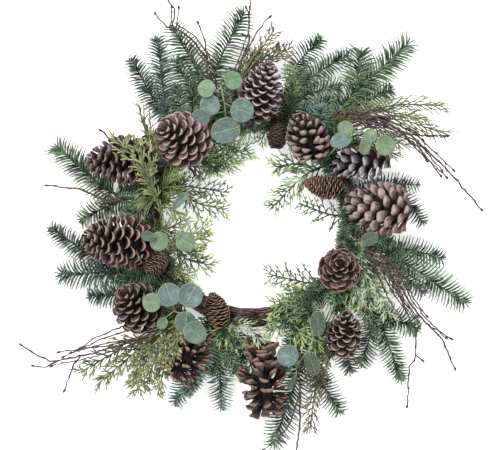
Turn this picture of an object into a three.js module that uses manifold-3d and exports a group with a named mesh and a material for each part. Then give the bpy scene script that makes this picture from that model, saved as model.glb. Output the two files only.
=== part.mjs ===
// A fresh evergreen wreath lying face up: a bundle of vines bent into a ring, with fir branches,
// cedar fronds, twigs, pine cones and eucalyptus pushed into it.
// Millimetres, +Z up, the resting surface at z = 0, the ring's centre at x = 0, y = 0 until the last step.
import * as THREE from "three";
import Module from "manifold-3d";

const wasm = await Module();
wasm.setup();

// ---------- Driving sizes ----------
const RING_RADIUS = 140;
const RING_TUBE = 14;
const RING_STRAND_DEPTH = 1.7;
const RING_STRANDS = 6;
const RING_SECTIONS = 44;
const RING_TURNS = 2;
const RING_HEIGHT = 11.6;
const FIT_GAP = 0.35;
const MOST_DROP = 26;

const NEEDLE_LENGTH = 21;
const NEEDLE_STEP = 7.2;
const CROWN_SHARE = 0.8;
const FIR_STEM = 2.3;
const FIR_STEM_TIP = 1.1;
const FLOOR_CLEAR = 0.9;

const CONE_AROUND = 7;
const CONE_ROW_HEIGHT = 17.2;
const SMALL_CONE_AROUND = 7;
const SMALL_CONE_ROWS = 6;

const LEAF_THICK = 0.9;
const LEAF_SIDES = 8;
const LEAF_STEM_STEP = 14;

const CEDAR_STEP = 18;
const CEDAR_JOINT = 3.6;
const CEDAR_SPREAD = 1.55;

const SEED = 20261;

// ---------- Where each piece goes ----------
// Pine cones: centre, length and width, the way the tip points (degrees round from +X, then degrees up),
// and how wide open.
const CONES = {
  cone_upper_left: { at: [-101, 115, 66], length: 88, width: 80, turn: 150, rise: 52, open: 0.5 },
  cone_left_high: { at: [-184, 84, 52], length: 98, width: 70, turn: 184, rise: 8, open: 0.7 },
  cone_top: { at: [15, 178, 58], length: 92, width: 62, turn: 76, rise: 22, open: 0.5 },
  cone_top_right: { at: [76, 119, 66], length: 74, width: 62, turn: 118, rise: 38, open: 0.7 },
  cone_right_high: { at: [153, 82, 52], length: 92, width: 56, turn: 196, rise: 2, open: 0.5 },
  cone_right: { at: [176, 17, 58], length: 97, width: 78, turn: 172, rise: -6, open: 0.45 },
  cone_left: { at: [-187, -29, 58], length: 104, width: 78, turn: 176, rise: 14, open: 0.6 },
  cone_left_low: { at: [-163, -124, 56], length: 78, width: 72, turn: 194, rise: 48, open: 0.5 },
  cone_bottom_left: { at: [-98, -199, 48], length: 84, width: 70, turn: 238, rise: -4, open: 1 },
  cone_bottom: { at: [14, -219, 50], length: 114, width: 74, turn: 94, rise: 8, open: 1 },
  cone_inner_right: { at: [120, -73, 68], length: 70, width: 62, turn: 215, rise: 58, open: 0.4 },
  cone_right_low: { at: [131, -162, 46], length: 80, width: 50, turn: 84, rise: 16, open: 0.9 },
};

// Small closed cones.
const SMALL_CONES = {
  small_cone_top: { at: [36, 114, 46], length: 44, width: 29, turn: 84, rise: -24 },
  small_cone_right: { at: [101, 46, 54], length: 58, width: 36, turn: 168, rise: 4 },
  small_cone_left: { at: [-128, -73, 46], length: 42, width: 32, turn: 246, rise: 6 },
  small_cone_low: { at: [-48, -126, 54], length: 52, width: 36, turn: 104, rise: 34 },
};

// Fir branches: a main shoot from inside the ring through a fork to its tip, and side shoots off it.
const FIR = {
  fir_top_left: {
    main: [[-84, 108, 14], [-118, 150, 12], [-133, 251, 34]],
    side: [[[-110, 140, 12], [-132, 160, 14], [-168, 221, 36]]],
  },
  fir_top: {
    main: [[-52, 128, 14], [-62, 178, 15], [-109, 265, 36]],
    side: [
      [[-58, 160, 14], [-82, 180, 16], [-108, 221, 22]],
      [[-62, 178, 15], [-50, 215, 24], [-14, 286, 36]],
    ],
  },
  fir_top_right: {
    main: [[60, 128, 14], [64, 182, 18], [132, 231, 36]],
    side: [[[64, 182, 18], [62, 214, 26], [94, 251, 38]], [[63, 165, 16], [84, 180, 18], [120, 186, 22]]],
  },
  fir_right_high: {
    main: [[96, 104, 14], [128, 158, 14], [216, 244, 40]],
    side: [
      [[134, 164, 15], [140, 190, 20], [154, 231, 28]],
      [[126, 156, 14], [150, 162, 14], [193, 182, 20]],
    ],
  },
  fir_right: {
    main: [[137, 30, 13], [190, 50, 11], [231, 48, 30]],
    side: [[[186, 49, 11], [212, 34, 14], [240, -2, 26]]],
  },
  fir_right_low: {
    main: [[135, -36, 14], [192, -50, 15], [297, -115, 32]],
    side: [
      [[180, -45, 14], [214, -42, 22], [265, -54, 34]],
      [[186, -48, 15], [208, -74, 14], [240, -101, 18]],
    ],
  },
  fir_low_right: {
    main: [[112, -86, 13], [174, -138, 15], [209, -223, 32]],
    side: [
      [[164, -128, 14], [190, -136, 18], [230, -154, 26]],
      [[168, -134, 15], [168, -162, 18], [155, -202, 26]],
    ],
  },
  fir_bottom_right: {
    main: [[62, -126, 13], [70, -196, 14], [32, -314, 28]],
    side: [
      [[66, -146, 14], [118, -158, 12], [138, -212, 20]],
      [[70, -190, 14], [92, -222, 18], [122, -269, 28]],
    ],
  },
  fir_bottom: {
    main: [[-36, -135, 13], [-45, -190, 14], [-43, -263, 28]],
    side: [[[-42, -165, 14], [-76, -202, 12], [-107, -257, 18]]],
  },
  fir_left_low: {
    main: [[-114, -82, 13], [-176, -76, 12], [-267, -78, 22]],
    side: [
      [[-180, -76, 12], [-224, -54, 14], [-281, -15, 30]],
      [[-148, -80, 12], [-178, -105, 11], [-226, -109, 16]],
    ],
  },
  fir_left_high: {
    main: [[-138, 26, 14], [-190, 34, 14], [-273, 99, 30]],
    side: [[[-172, 30, 14], [-204, 18, 12], [-239, 1, 16]]],
  },
};

// Cedar fronds: ribs from inside the ring to their tips, the spread of their side branches, and a colour.
const CEDAR = {
  cedar_upper_left: {
    ribs: [[[-116, 72, 16], [-121, 75, 62], [-131, 92, 88], [-146, 120, 97], [-155, 152, 94]]],
    reach: 17,
    hue: "yellow",
  },
  cedar_over_cone: {
    ribs: [
      [[-126, 58, 16], [-146, 54, 62], [-152, 74, 92], [-190, 110, 96]],
      [[-152, 74, 92], [-160, 108, 98]],
    ],
    reach: 16,
    hue: "olive",
  },
  cedar_left_heart: {
    ribs: [[[-130, 48, 20], [-128, 40, 46], [-108, 60, 58]], [[-128, 40, 46], [-150, 22, 62]]],
    reach: 18,
    hue: "yellow",
  },
  cedar_inner_top: { ribs: [[[-106, 92, 16], [-82, 84, 30], [-8, 96, 34]]], reach: 22, hue: "bright" },
  cedar_inner_left: {
    ribs: [[[-130, 44, 14], [-92, 46, 24], [-40, 38, 30]], [[-104, 46, 22], [-80, 24, 30], [-42, 14, 30]]],
    reach: 17,
    hue: "grey",
  },
  cedar_left_inner: {
    ribs: [
      [[-134, -38, 16], [-106, -32, 34], [-64, -12, 40]],
      [[-110, -34, 32], [-92, -56, 40], [-62, -64, 40]],
    ],
    reach: 17,
    hue: "yellow",
  },
  cedar_top: {
    ribs: [[[-16, 138, 14], [-17, 190, 22], [29, 262, 40]], [[-8, 204, 24], [18, 222, 30], [50, 238, 38]]],
    reach: 14,
    hue: "brown",
  },
  cedar_top_mid: { ribs: [[[46, 132, 18], [56, 166, 48], [52, 206, 62]]], reach: 18, hue: "bright" },
  cedar_right_high: {
    ribs: [
      [[102, 96, 18], [130, 132, 52], [196, 158, 64], [262, 158, 58]],
      [[150, 140, 56], [206, 138, 66], [262, 122, 50]],
    ],
    reach: 16,
    hue: "yellow",
  },
  cedar_inner_right: {
    ribs: [[[114, 78, 14], [80, 66, 24], [31, 20, 30]], [[88, 70, 22], [64, 78, 30], [34, 74, 32]]],
    reach: 18,
    hue: "bright",
  },
  cedar_inner_mid: { ribs: [[[138, 6, 14], [112, 6, 22], [74, 20, 26]]], reach: 15, hue: "grey" },
  cedar_inner_low: {
    ribs: [[[104, -94, 14], [78, -90, 26], [26, -78, 32]], [[86, -90, 24], [64, -116, 34], [34, -120, 40]]],
    reach: 19,
    hue: "bright",
  },
  cedar_bottom_mid: {
    ribs: [[[46, -132, 18], [52, -140, 46], [26, -158, 56]], [[52, -140, 46], [70, -164, 56]]],
    reach: 16,
    hue: "bright",
  },
  cedar_bottom: {
    ribs: [
      [[-36, -135, 20], [-34, -150, 36], [-58, -172, 44]],
      [[-35, -146, 32], [-14, -176, 12], [8, -236, 12]],
    ],
    reach: 15,
    hue: "bright",
  },
  cedar_right_low: {
    ribs: [
      [[138, -26, 20], [154, -56, 52], [190, -128, 50]],
      [[154, -60, 52], [160, -100, 50], [166, -140, 42]],
    ],
    reach: 18,
    hue: "grey",
  },
  cedar_bottom_left: {
    ribs: [
      [[-88, -110, 16], [-132, -158, 22], [-212, -228, 36]],
      [[-128, -154, 22], [-150, -200, 30], [-162, -240, 34]],
      [[-140, -164, 24], [-186, -184, 34], [-236, -212, 38]],
    ],
    reach: 19,
    hue: "olive",
  },
  cedar_bottom_right: { ribs: [[[80, -116, 16], [92, -190, 40], [82, -292, 38]]], reach: 15, hue: "brown" },
};

// Twigs: each bundle is a list of stems, the first from inside the ring, the others off it.
// A bud ends each.
const TWIGS = {
  twigs_top_left: [
    [
      [-50, 130, 22], [-54, 186, 56], [-64, 224, 62], [-85, 251, 66],
      [-110, 268, 68], [-108, 292, 66], [-124, 314, 64],
    ],
    [[-106, 264, 68], [-118, 266, 70], [-133, 283, 68]],
    [[-62, 222, 62], [-66, 248, 72], [-74, 270, 74]],
    [[-54, 184, 56], [-76, 214, 70], [-92, 240, 78]],
  ],
  twigs_top: [
    [[-24, 137, 20], [-26, 190, 50], [-4, 250, 58], [-4, 284, 60], [0, 316, 60]],
    [[-3, 280, 60], [-7, 292, 63]],
    [[-14, 222, 54], [8, 262, 62], [23, 280, 62]],
  ],
  twigs_right_high: [
    [
      [108, 90, 20], [134, 128, 68], [176, 138, 70], [222, 116, 66],
      [252, 88, 60], [276, 66, 56], [320, 15, 46],
    ],
    [[218, 118, 66], [244, 116, 68], [269, 116, 66]],
    [[226, 112, 65], [234, 98, 66], [243, 84, 62]],
    [[150, 134, 69], [196, 130, 74], [232, 100, 68], [262, 62, 58]],
  ],
  twigs_bottom_left: [
    [
      [-92, -106, 20], [-118, -152, 60], [-166, -170, 58], [-222, -188, 54],
      [-279, -200, 48], [-300, -192, 46], [-322, -178, 44],
    ],
    [[-240, -192, 52], [-250, -204, 52], [-262, -238, 48]],
    [[-150, -166, 59], [-200, -172, 64], [-250, -186, 58]],
    [[-272, -199, 49], [-290, -208, 50], [-304, -206, 50]],
  ],
  twigs_right_low: [
    [
      [138, -20, 18], [164, -44, 62], [196, -70, 66], [218, -114, 64],
      [236, -138, 60], [266, -168, 54], [283, -207, 48],
    ],
    [[250, -152, 57], [262, -156, 60], [276, -166, 58]],
    [[200, -76, 66], [214, -128, 68], [228, -158, 62], [229, -192, 56], [220, -206, 54], [218, -260, 46]],
    [[229, -190, 56], [236, -196, 58]],
  ],
  twigs_bottom: [
    [[58, -128, 20], [66, -180, 50], [68, -240, 56], [67, -288, 52], [62, -328, 48]],
    [[68, -244, 56], [54, -286, 56], [36, -310, 50], [18, -322, 48]],
  ],
  twig_left_high: [[[-122, 68, 20], [-156, 82, 12], [-196, 108, 13], [-212, 124, 22]]],
  twigs_left: [
    [[-139, 18, 18], [-174, 24, 44], [-208, 26, 46], [-240, 42, 46], [-286, 47, 42]],
    [[-190, 25, 45], [-214, 40, 50], [-228, 56, 50]],
  ],
};

// Eucalyptus: a stem, then each leaf as centre x, y, z, radius, width share, and the way it leans.
const EUCALYPTUS = {
  eucalyptus_top: {
    stem: [[-34, 134, 22], [-36, 138, 62], [-38, 158, 78], [-43, 184, 80]],
    leaves: [
      [-62, 180, 80, 12.6, 1, 160, 20],
      [-27, 191, 84, 12.8, 1, 20, 18],
      [-57, 158, 78, 14.5, 1, 200, 16],
      [-72, 147, 99, 13, 0.9, 180, 24],
      [-15, 150, 88, 16.5, 1, 340, 14],
      [-36, 121, 76, 20, 1, 280, 12],
    ],
    hue: "blue",
  },
  eucalyptus_right: {
    stem: [[104, 88, 22], [114, 96, 66], [134, 122, 78], [168, 112, 80]],
    leaves: [
      [124, 107, 82, 15, 0.62, 220, 20],
      [138, 136, 84, 12, 0.8, 90, 24],
      [154, 102, 80, 12, 0.6, 300, 26],
      [167, 125, 84, 12, 0.7, 60, 22],
      [184, 102, 82, 14, 1, 350, 14],
    ],
    hue: "green",
  },
  eucalyptus_left_low: {
    stem: [[-92, -104, 22], [-112, -124, 66], [-102, -130, 76], [-86, -130, 80]],
    leaves: [
      [-138, -116, 78, 13.2, 1, 170, 14],
      [-114, -106, 79, 15, 1, 110, 12],
      [-85, -108, 84, 16.5, 1, 60, 14],
      [-90, -146, 78, 14.5, 0.85, 280, 16],
      [-74, -153, 86, 16, 0.85, 320, 18],
      [-124, -144, 73, 10.5, 0.7, 240, 30],
    ],
    hue: "blue",
  },
  eucalyptus_left: {
    stem: [[-134, -16, 20], [-120, -18, 58], [-108, -26, 68]],
    leaves: [
      [-126, -34, 80, 14, 0.9, 230, 16],
      [-140, -14, 88, 10, 0.8, 140, 20],
      [-92, -36, 70, 13.8, 1, 330, 14],
      [-104, -4, 68, 11.5, 0.85, 60, 24],
    ],
    hue: "green",
  },
  eucalyptus_bottom: {
    stem: [[74, -120, 20], [80, -140, 54], [84, -168, 66], [62, -204, 74]],
    leaves: [
      [46, -190, 88, 15, 1, 150, 12],
      [92, -142, 72, 17, 0.6, 60, 24],
      [84, -202, 70, 16, 0.6, 300, 26],
      [56, -226, 74, 13, 0.55, 240, 40],
    ],
    hue: "blue",
  },
  eucalyptus_right_low: {
    stem: [[136, -30, 22], [146, -36, 64], [158, -44, 72]],
    leaves: [
      [168, -34, 74, 12, 0.75, 40, 16],
      [150, -56, 82, 11, 0.7, 260, 20],
    ],
    hue: "green",
  },
};

// The wreath's open middle, kept clear: two crossing boxes, as [x0, x1, y0, y1].
const OPEN_MIDDLE = [
  [-30, 22, -116, 74],
  [-54, 66, -56, 8],
];

const COLOURS = {
  vine: 0x5a4636,
  cone: 0x6b4c40,
  smallCone: 0x7d5236,
  fir: 0x3f6149,
  yellow: 0x8d9a4e,
  olive: 0x93914f,
  bright: 0x5f8a3c,
  grey: 0x6c8468,
  brown: 0x7f6b45,
  twig: 0x4c3836,
  blue: 0x84a09f,
  green: 0x7f9d78,
};

// ---------- Small helpers ----------
const V = (x, y, z) => new THREE.Vector3(x, y, z);
const vec = (p) => V(p[0], p[1], p[2]);
const UP = V(0, 0, 1);

// The same draws every time: one stream of numbers for each named piece.
function draws(name) {
  let state = SEED;
  for (const letter of name) state = (Math.imul(state, 31) + letter.charCodeAt(0)) >>> 0;
  return () => {
    state = (state + 0x6d2b79f5) >>> 0;
    let t = Math.imul(state ^ (state >>> 15), 1 | state);
    t = (t + Math.imul(t ^ (t >>> 7), 61 | t)) ^ t;
    return ((t ^ (t >>> 14)) >>> 0) / 4294967296;
  };
}

// Evenly spaced points along a smooth line through the given ones.
function smooth(points, step) {
  const curve = new THREE.CatmullRomCurve3(points.map(vec), false, "centripetal");
  return curve.getSpacedPoints(Math.max(2, Math.round(curve.getLength() / step)));
}

// Points along a smooth line in turn a long and a short stretch apart. Side branches leave the short ones.
function jointedRib(points) {
  const curve = new THREE.CatmullRomCurve3(points.map(vec), false, "centripetal");
  const length = curve.getLength();
  const count = Math.max(2, Math.round(length / CEDAR_STEP));
  const line = [curve.getPointAt(0)];
  for (let i = 1; i <= count; i++) {
    if (i < count) line.push(curve.getPointAt(i / count - CEDAR_JOINT / length));
    line.push(curve.getPointAt(i / count));
  }
  return line;
}

function direction(turn, rise) {
  const a = THREE.MathUtils.degToRad(turn);
  const e = THREE.MathUtils.degToRad(rise);
  return V(Math.cos(a) * Math.cos(e), Math.sin(a) * Math.cos(e), Math.sin(e));
}

// ---------- A closed skin that grows ----------
// Every growth replaces one face by others that share its edges, so the skin stays closed throughout.
class Skin {
  constructor() {
    this.points = [];
    this.faces = [];
    this.grown = new Set();
  }

  point(p) {
    this.points.push(p.clone());
    return this.points.length - 1;
  }

  face(a, b, c) {
    this.faces.push([a, b, c]);
    return this.faces.length - 1;
  }

  normal(f) {
    const [a, b, c] = this.faces[f].map((i) => this.points[i]);
    return b.clone().sub(a).cross(c.clone().sub(a)).normalize();
  }

  centre(f) {
    const [a, b, c] = this.faces[f].map((i) => this.points[i]);
    return a.clone().add(b).add(c).divideScalar(3);
  }

  // A three-sided stem closed at both ends. Returns its faces, six to each stretch.
  stem(path, radii) {
    const rings = path.map((p, i) => {
      const t = tangent(path, i);
      const s = t.clone().cross(UP).normalize();
      const n = s.clone().cross(t);
      return [30, 150, 270].map((deg) => {
        const a = THREE.MathUtils.degToRad(deg);
        const out = s.clone().multiplyScalar(Math.cos(a)).addScaledVector(n, Math.sin(a));
        return this.point(p.clone().addScaledVector(out, radii(i / (path.length - 1))));
      });
    });
    this.face(rings[0][0], rings[0][1], rings[0][2]);
    const stretches = [];
    for (let i = 0; i + 1 < rings.length; i++) {
      const now = [];
      for (let k = 0; k < 3; k++) {
        const m = (k + 1) % 3;
        now.push(this.face(rings[i][k], rings[i + 1][m], rings[i][m]));
        now.push(this.face(rings[i][k], rings[i + 1][k], rings[i + 1][m]));
      }
      stretches.push(now);
    }
    const last = rings[rings.length - 1];
    stretches.end = this.face(last[0], last[2], last[1]);
    return stretches;
  }

  // One face drawn out to a point.
  spike(f, tip) {
    const [a, b, c] = this.faces[f];
    const t = this.point(tip);
    this.faces[f] = [a, b, t];
    this.grown.add(f);
    this.face(b, c, t);
    this.face(c, a, t);
  }

  // One face drawn out along a path into a three-sided stem. Returns its faces, six to each stretch.
  limb(f, path, radii) {
    let ring = this.faces[f];
    this.grown.add(f);
    const stretches = [];
    for (let i = 1; i < path.length; i++) {
      const t = tangent(path, i);
      const r = radii(i / (path.length - 1));
      const next = this.turnedRing(ring, path[i], t, r);
      const now = [];
      for (let k = 0; k < 3; k++) {
        const m = (k + 1) % 3;
        const first = [ring[k], ring[m], next[m]];
        if (i === 1 && k === 0) {
          this.faces[f] = first;
          now.push(f);
        } else now.push(this.face(...first));
        now.push(this.face(ring[k], next[m], next[k]));
      }
      stretches.push(now);
      ring = next;
    }
    this.grown.delete(f);
    stretches.end = this.face(ring[0], ring[1], ring[2]);
    return stretches;
  }

  // Three points round p, square to t, turned to follow the last ring with the least twist.
  turnedRing(ring, p, t, r) {
    const from = ring.map((i) => this.points[i]);
    const mid = from[0].clone().add(from[1]).add(from[2]).divideScalar(3);
    const u = V(0, 0, 0).copy(Math.abs(t.z) < 0.9 ? UP : V(1, 0, 0)).cross(t).normalize();
    const w = t.clone().cross(u);
    let x = 0;
    let y = 0;
    from.forEach((q, k) => {
      const d = q.clone().sub(mid);
      const a = Math.atan2(d.dot(w), d.dot(u)) - (k * 2 * Math.PI) / 3;
      const size = Math.hypot(d.dot(w), d.dot(u));
      x += size * Math.cos(a);
      y += size * Math.sin(a);
    });
    const start = Math.atan2(y, x);
    return [0, 1, 2].map((k) => {
      const a = start + (k * 2 * Math.PI) / 3;
      return this.point(p.clone().addScaledVector(u, r * Math.cos(a)).addScaledVector(w, r * Math.sin(a)));
    });
  }

  // The ungrown face of these that looks most nearly along a direction.
  facing(faces, way) {
    let best = -1;
    let most = 0.15;
    for (const f of faces) {
      if (this.grown.has(f)) continue;
      const d = this.normal(f).dot(way);
      if (d > most) {
        most = d;
        best = f;
      }
    }
    return best;
  }

  solid() {
    const vertProperties = new Float32Array(this.points.flatMap((p) => [p.x, p.y, p.z]));
    const triVerts = new Uint32Array(this.faces.flat());
    return new wasm.Manifold(new wasm.Mesh({ numProp: 3, vertProperties, triVerts }));
  }
}

function tangent(path, i) {
  const a = path[Math.max(0, i - 1)];
  const b = path[Math.min(path.length - 1, i + 1)];
  return b.clone().sub(a).normalize();
}

// ---------- Room between the pieces ----------
// Everything placed is noted as short rounded bars, and new growth is tested against those of other shoots.
const CELL = 26;
const placed = new Map();
const bodies = [];

function cellsOf(a, b, r) {
  const keys = [];
  const lo = a.clone().min(b).subScalar(r);
  const hi = a.clone().max(b).addScalar(r);
  for (let x = Math.floor(lo.x / CELL); x <= Math.floor(hi.x / CELL); x++)
    for (let y = Math.floor(lo.y / CELL); y <= Math.floor(hi.y / CELL); y++)
      for (let z = Math.floor(lo.z / CELL); z <= Math.floor(hi.z / CELL); z++)
        keys.push(x + "," + y + "," + z);
  return keys;
}

function note(a, b, r, shoot) {
  const bar = { a: a.clone(), b: b.clone(), r, shoot };
  for (const key of cellsOf(a, b, r)) {
    if (!placed.has(key)) placed.set(key, []);
    placed.get(key).push(bar);
  }
}

function barDistance(p, q, a, b) {
  const d1 = q.clone().sub(p);
  const d2 = b.clone().sub(a);
  const r = p.clone().sub(a);
  const aa = d1.dot(d1);
  const ee = d2.dot(d2);
  const f = d2.dot(r);
  const c = d1.dot(r);
  const bb = d1.dot(d2);
  const den = aa * ee - bb * bb;
  let s = den > 1e-9 ? THREE.MathUtils.clamp((bb * f - c * ee) / den, 0, 1) : 0;
  let t = (bb * s + f) / ee;
  if (t < 0) {
    t = 0;
    s = THREE.MathUtils.clamp(-c / aa, 0, 1);
  } else if (t > 1) {
    t = 1;
    s = THREE.MathUtils.clamp((bb - c) / aa, 0, 1);
  }
  return p.clone().addScaledVector(d1, s).distanceTo(a.clone().addScaledVector(d2, t));
}

function inBody(p, extra) {
  for (const body of bodies) {
    const d = p.clone().sub(body.at);
    const along = d.dot(body.axis);
    const across = Math.sqrt(Math.max(0, d.lengthSq() - along * along));
    const share = (along / (body.along + extra)) ** body.fullness;
    if (share + (across / (body.across + extra)) ** 2 < 1) return true;
  }
  return false;
}

function inOpening(p, extra) {
  return OPEN_MIDDLE.some(
    ([x0, x1, y0, y1]) => p.x > x0 - extra && p.x < x1 + extra && p.y > y0 - extra && p.y < y1 + extra,
  );
}

function inRing(p, extra) {
  const out = Math.hypot(p.x, p.y) - RING_RADIUS;
  return Math.hypot(out, p.z - RING_HEIGHT) < RING_TUBE + RING_STRAND_DEPTH + extra;
}

// Whether a bar from a to b keeps clear of everything but its own shoot.
function clear(a, b, r, shoot) {
  for (const s of [0.06, 0.22, 0.45, 0.7, 0.86, 1]) {
    const p = a.clone().lerp(b, s);
    if (p.z < FLOOR_CLEAR + r * (1 - s)) return false;
    if (inBody(p, 1.3) || inRing(p, 0.8) || inOpening(p, 0.8)) return false;
  }
  for (const key of cellsOf(a, b, r + 1))
    for (const bar of placed.get(key) || [])
      if (bar.shoot !== shoot && barDistance(a, b, bar.a, bar.b) < r + bar.r + 0.45) return false;
  return true;
}

function notePath(path, r, shoot) {
  for (let i = 0; i + 1 < path.length; i++) note(path[i], path[i + 1], r, shoot);
}

// ---------- The vine ring ----------
// A bundle of strands: lobes round its section that wind slowly about it, flattened where it rests.
function vineRing(grow) {
  const skin = new Skin();
  const around = RING_STRANDS * 2;
  const rings = [];
  for (let i = 0; i < RING_SECTIONS; i++) {
    const a = (i / RING_SECTIONS) * 2 * Math.PI;
    const swell = 0.7 * Math.sin(a * 5 + 1) + 0.5 * Math.sin(a * 9);
    const ring = [];
    for (let k = 0; k < around; k++) {
      const b = (k / around) * 2 * Math.PI + RING_TURNS * a;
      const lobe = k % 2 ? -RING_STRAND_DEPTH : RING_STRAND_DEPTH * 0.8;
      const r = RING_TUBE + lobe + swell + grow;
      const out = RING_RADIUS + r * Math.cos(b);
      const z = Math.max(-grow, RING_HEIGHT + r * Math.sin(b));
      ring.push(skin.point(V(out * Math.cos(a), out * Math.sin(a), z)));
    }
    rings.push(ring);
  }
  for (let i = 0; i < RING_SECTIONS; i++) {
    const j = (i + 1) % RING_SECTIONS;
    const shift = j === 0 ? RING_TURNS * around : 0;
    for (let k = 0; k < around; k++) {
      const a = rings[i][k];
      const b = rings[i][(k + 1) % around];
      const c = rings[j][(k + 1 + shift) % around];
      const d = rings[j][(k + shift) % around];
      skin.face(a, d, c);
      skin.face(a, c, b);
    }
  }
  return skin.solid();
}

// ---------- Pine cones ----------
// The half width of a cone at a share of its length from base to tip.
function coneProfile(t) {
  return Math.pow(Math.sin(Math.PI * Math.pow(Math.min(1, 0.13 + 0.83 * t), 0.82)), 0.75);
}

// Points of a slim core in a diamond lattice: each diamond is drawn out into one scale.
function coneLattice(skin, length, coreRadius, around, rows, roll) {
  const rings = [];
  for (let k = 0; k < rows + 2; k++) {
    const t = k / (rows + 1);
    const ring = [];
    for (let j = 0; j < around; j++) {
      const a = ((j + 0.5 * (k % 2)) / around) * 2 * Math.PI + roll;
      const r = coreRadius * (0.55 + 0.45 * Math.sin(Math.PI * (0.15 + 0.75 * t)));
      ring.push(skin.point(V(r * Math.cos(a), r * Math.sin(a), (t - 0.5) * length)));
    }
    rings.push(ring);
  }
  return rings;
}

function diamond(rings, around, k, j) {
  const odd = k % 2;
  return {
    bottom: rings[k][j],
    right: rings[k + 1][(j + odd) % around],
    top: rings[k + 2][j],
    left: rings[k + 1][(j - 1 + odd + around) % around],
  };
}

function closeCone(skin, rings, around, ends) {
  const last = rings.length - 1;
  const base = skin.point(V(0, 0, ends[0]));
  const tip = skin.point(V(0, 0, ends[1]));
  for (let j = 0; j < around; j++) {
    const next = (j + 1) % around;
    const odd = last % 2;
    skin.face(rings[0][j], base, rings[0][next]);
    skin.face(rings[0][j], rings[0][next], rings[1][j]);
    const below = rings[last - 1][odd ? next : j];
    skin.face(rings[last][j], below, rings[last][next]);
    skin.face(rings[last][j], rings[last][next], tip);
  }
}

// A woody scale: narrow where it leaves the core, spreading to a flat rhombic end.
function openScale(skin, d, out, way, half, rise) {
  const along = way.side;
  const b = skin.point(out.clone().addScaledVector(way.up, -rise));
  const r = skin.point(out.clone().addScaledVector(along, half));
  const t = skin.point(out.clone().addScaledVector(way.up, rise));
  const l = skin.point(out.clone().addScaledVector(along, -half));
  const inner = [d.bottom, d.right, d.top, d.left];
  const outer = [b, r, t, l];
  for (let k = 0; k < 4; k++) {
    const m = (k + 1) % 4;
    skin.face(inner[k], inner[m], outer[m]);
    skin.face(inner[k], outer[m], outer[k]);
  }
  skin.face(b, r, l);
  skin.face(r, t, l);
}

function openCone(name, spec) {
  const rows = Math.round(spec.length / CONE_ROW_HEIGHT);
  const random = draws(name);
  const skin = new Skin();
  const roll = random() * 6.28;
  const core = spec.length * 0.7;
  const rings = coneLattice(skin, core, spec.width * 0.15, CONE_AROUND, rows, roll);
  for (let k = 0; k < rows; k++)
    for (let j = 0; j < CONE_AROUND; j++) {
      const t = (k + 0.5) / rows;
      const a = ((j + 0.5 * (k % 2)) / CONE_AROUND) * 2 * Math.PI + roll;
      const reach = (spec.width / 2) * coneProfile(t) * (0.96 + 0.06 * random());
      const lean = THREE.MathUtils.lerp(-0.34 * spec.open, 0.62 - 0.1 * spec.open, t * t * 0.7 + t * 0.3);
      const root = ((k + 1) / (rows + 1) - 0.5) * core;
      const height = root + reach * Math.tan(lean) + (random() - 0.5) * 1.2;
      const out = V(reach * Math.cos(a), reach * Math.sin(a), height);
      const radial = V(Math.cos(a), Math.sin(a), 0);
      const side = V(-Math.sin(a), Math.cos(a), 0);
      const up = V(0, 0, Math.cos(lean)).addScaledVector(radial, -Math.sin(lean));
      const half = Math.min(12.5, ((Math.PI * reach) / CONE_AROUND) * (0.8 - 0.12 * spec.open));
      const rise = core * 0.047 * (1.05 - 0.2 * spec.open);
      openScale(skin, diamond(rings, CONE_AROUND, k, j), out, { side, up }, half, rise);
    }
  closeCone(skin, rings, CONE_AROUND, [-core * 0.5 - 4, core * 0.5 + spec.length * 0.12]);
  return toLength(skin.solid(), spec.length);
}

// The cone stretched along its axis to its exact length, its middle at the origin.
function toLength(solid, length) {
  const { min, max } = solid.boundingBox();
  const scale = length / (max[2] - min[2]);
  return solid.scale([1, 1, scale]).translate([0, 0, (-scale * (max[2] + min[2])) / 2]);
}

// A small closed cone: its scales are low pointed shields that overlap towards the tip.
function closedCone(name, spec) {
  const random = draws(name);
  const skin = new Skin();
  const roll = random() * 6.28;
  const rings = [];
  const rows = SMALL_CONE_ROWS;
  const around = SMALL_CONE_AROUND;
  for (let k = 0; k < rows + 2; k++) {
    const t = k / (rows + 1);
    const ring = [];
    for (let j = 0; j < around; j++) {
      const a = ((j + 0.5 * (k % 2)) / around) * 2 * Math.PI + roll;
      const swell = Math.pow(Math.sin(Math.PI * Math.min(0.97, 0.14 + 0.83 * t)), 0.8);
      const r = (spec.width / 2) * (0.12 + 0.68 * swell);
      ring.push(skin.point(V(r * Math.cos(a), r * Math.sin(a), (t - 0.5) * spec.length * 0.9)));
    }
    rings.push(ring);
  }
  for (let k = 0; k < rows; k++)
    for (let j = 0; j < around; j++) {
      const d = diamond(rings, around, k, j);
      const mid = skin.points[d.left].clone().add(skin.points[d.right]).multiplyScalar(0.5);
      const radial = V(mid.x, mid.y, 0);
      const reach = radial.length();
      radial.normalize();
      const out = radial.multiplyScalar(reach + spec.width * 0.135);
      out.z = mid.z + spec.length * 0.055;
      const p = skin.point(out);
      skin.face(d.bottom, d.right, p);
      skin.face(d.right, d.top, p);
      skin.face(d.top, d.left, p);
      skin.face(d.left, d.bottom, p);
    }
  closeCone(skin, rings, around, [-spec.length * 0.5, spec.length * 0.5]);
  return toLength(skin.solid(), spec.length);
}

function layCone(solid, spec) {
  const turn = new THREE.Quaternion().setFromUnitVectors(UP, direction(spec.turn, spec.rise));
  const move = new THREE.Matrix4().compose(vec(spec.at), turn, V(1, 1, 1));
  return solid.transform(move.elements);
}

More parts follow.
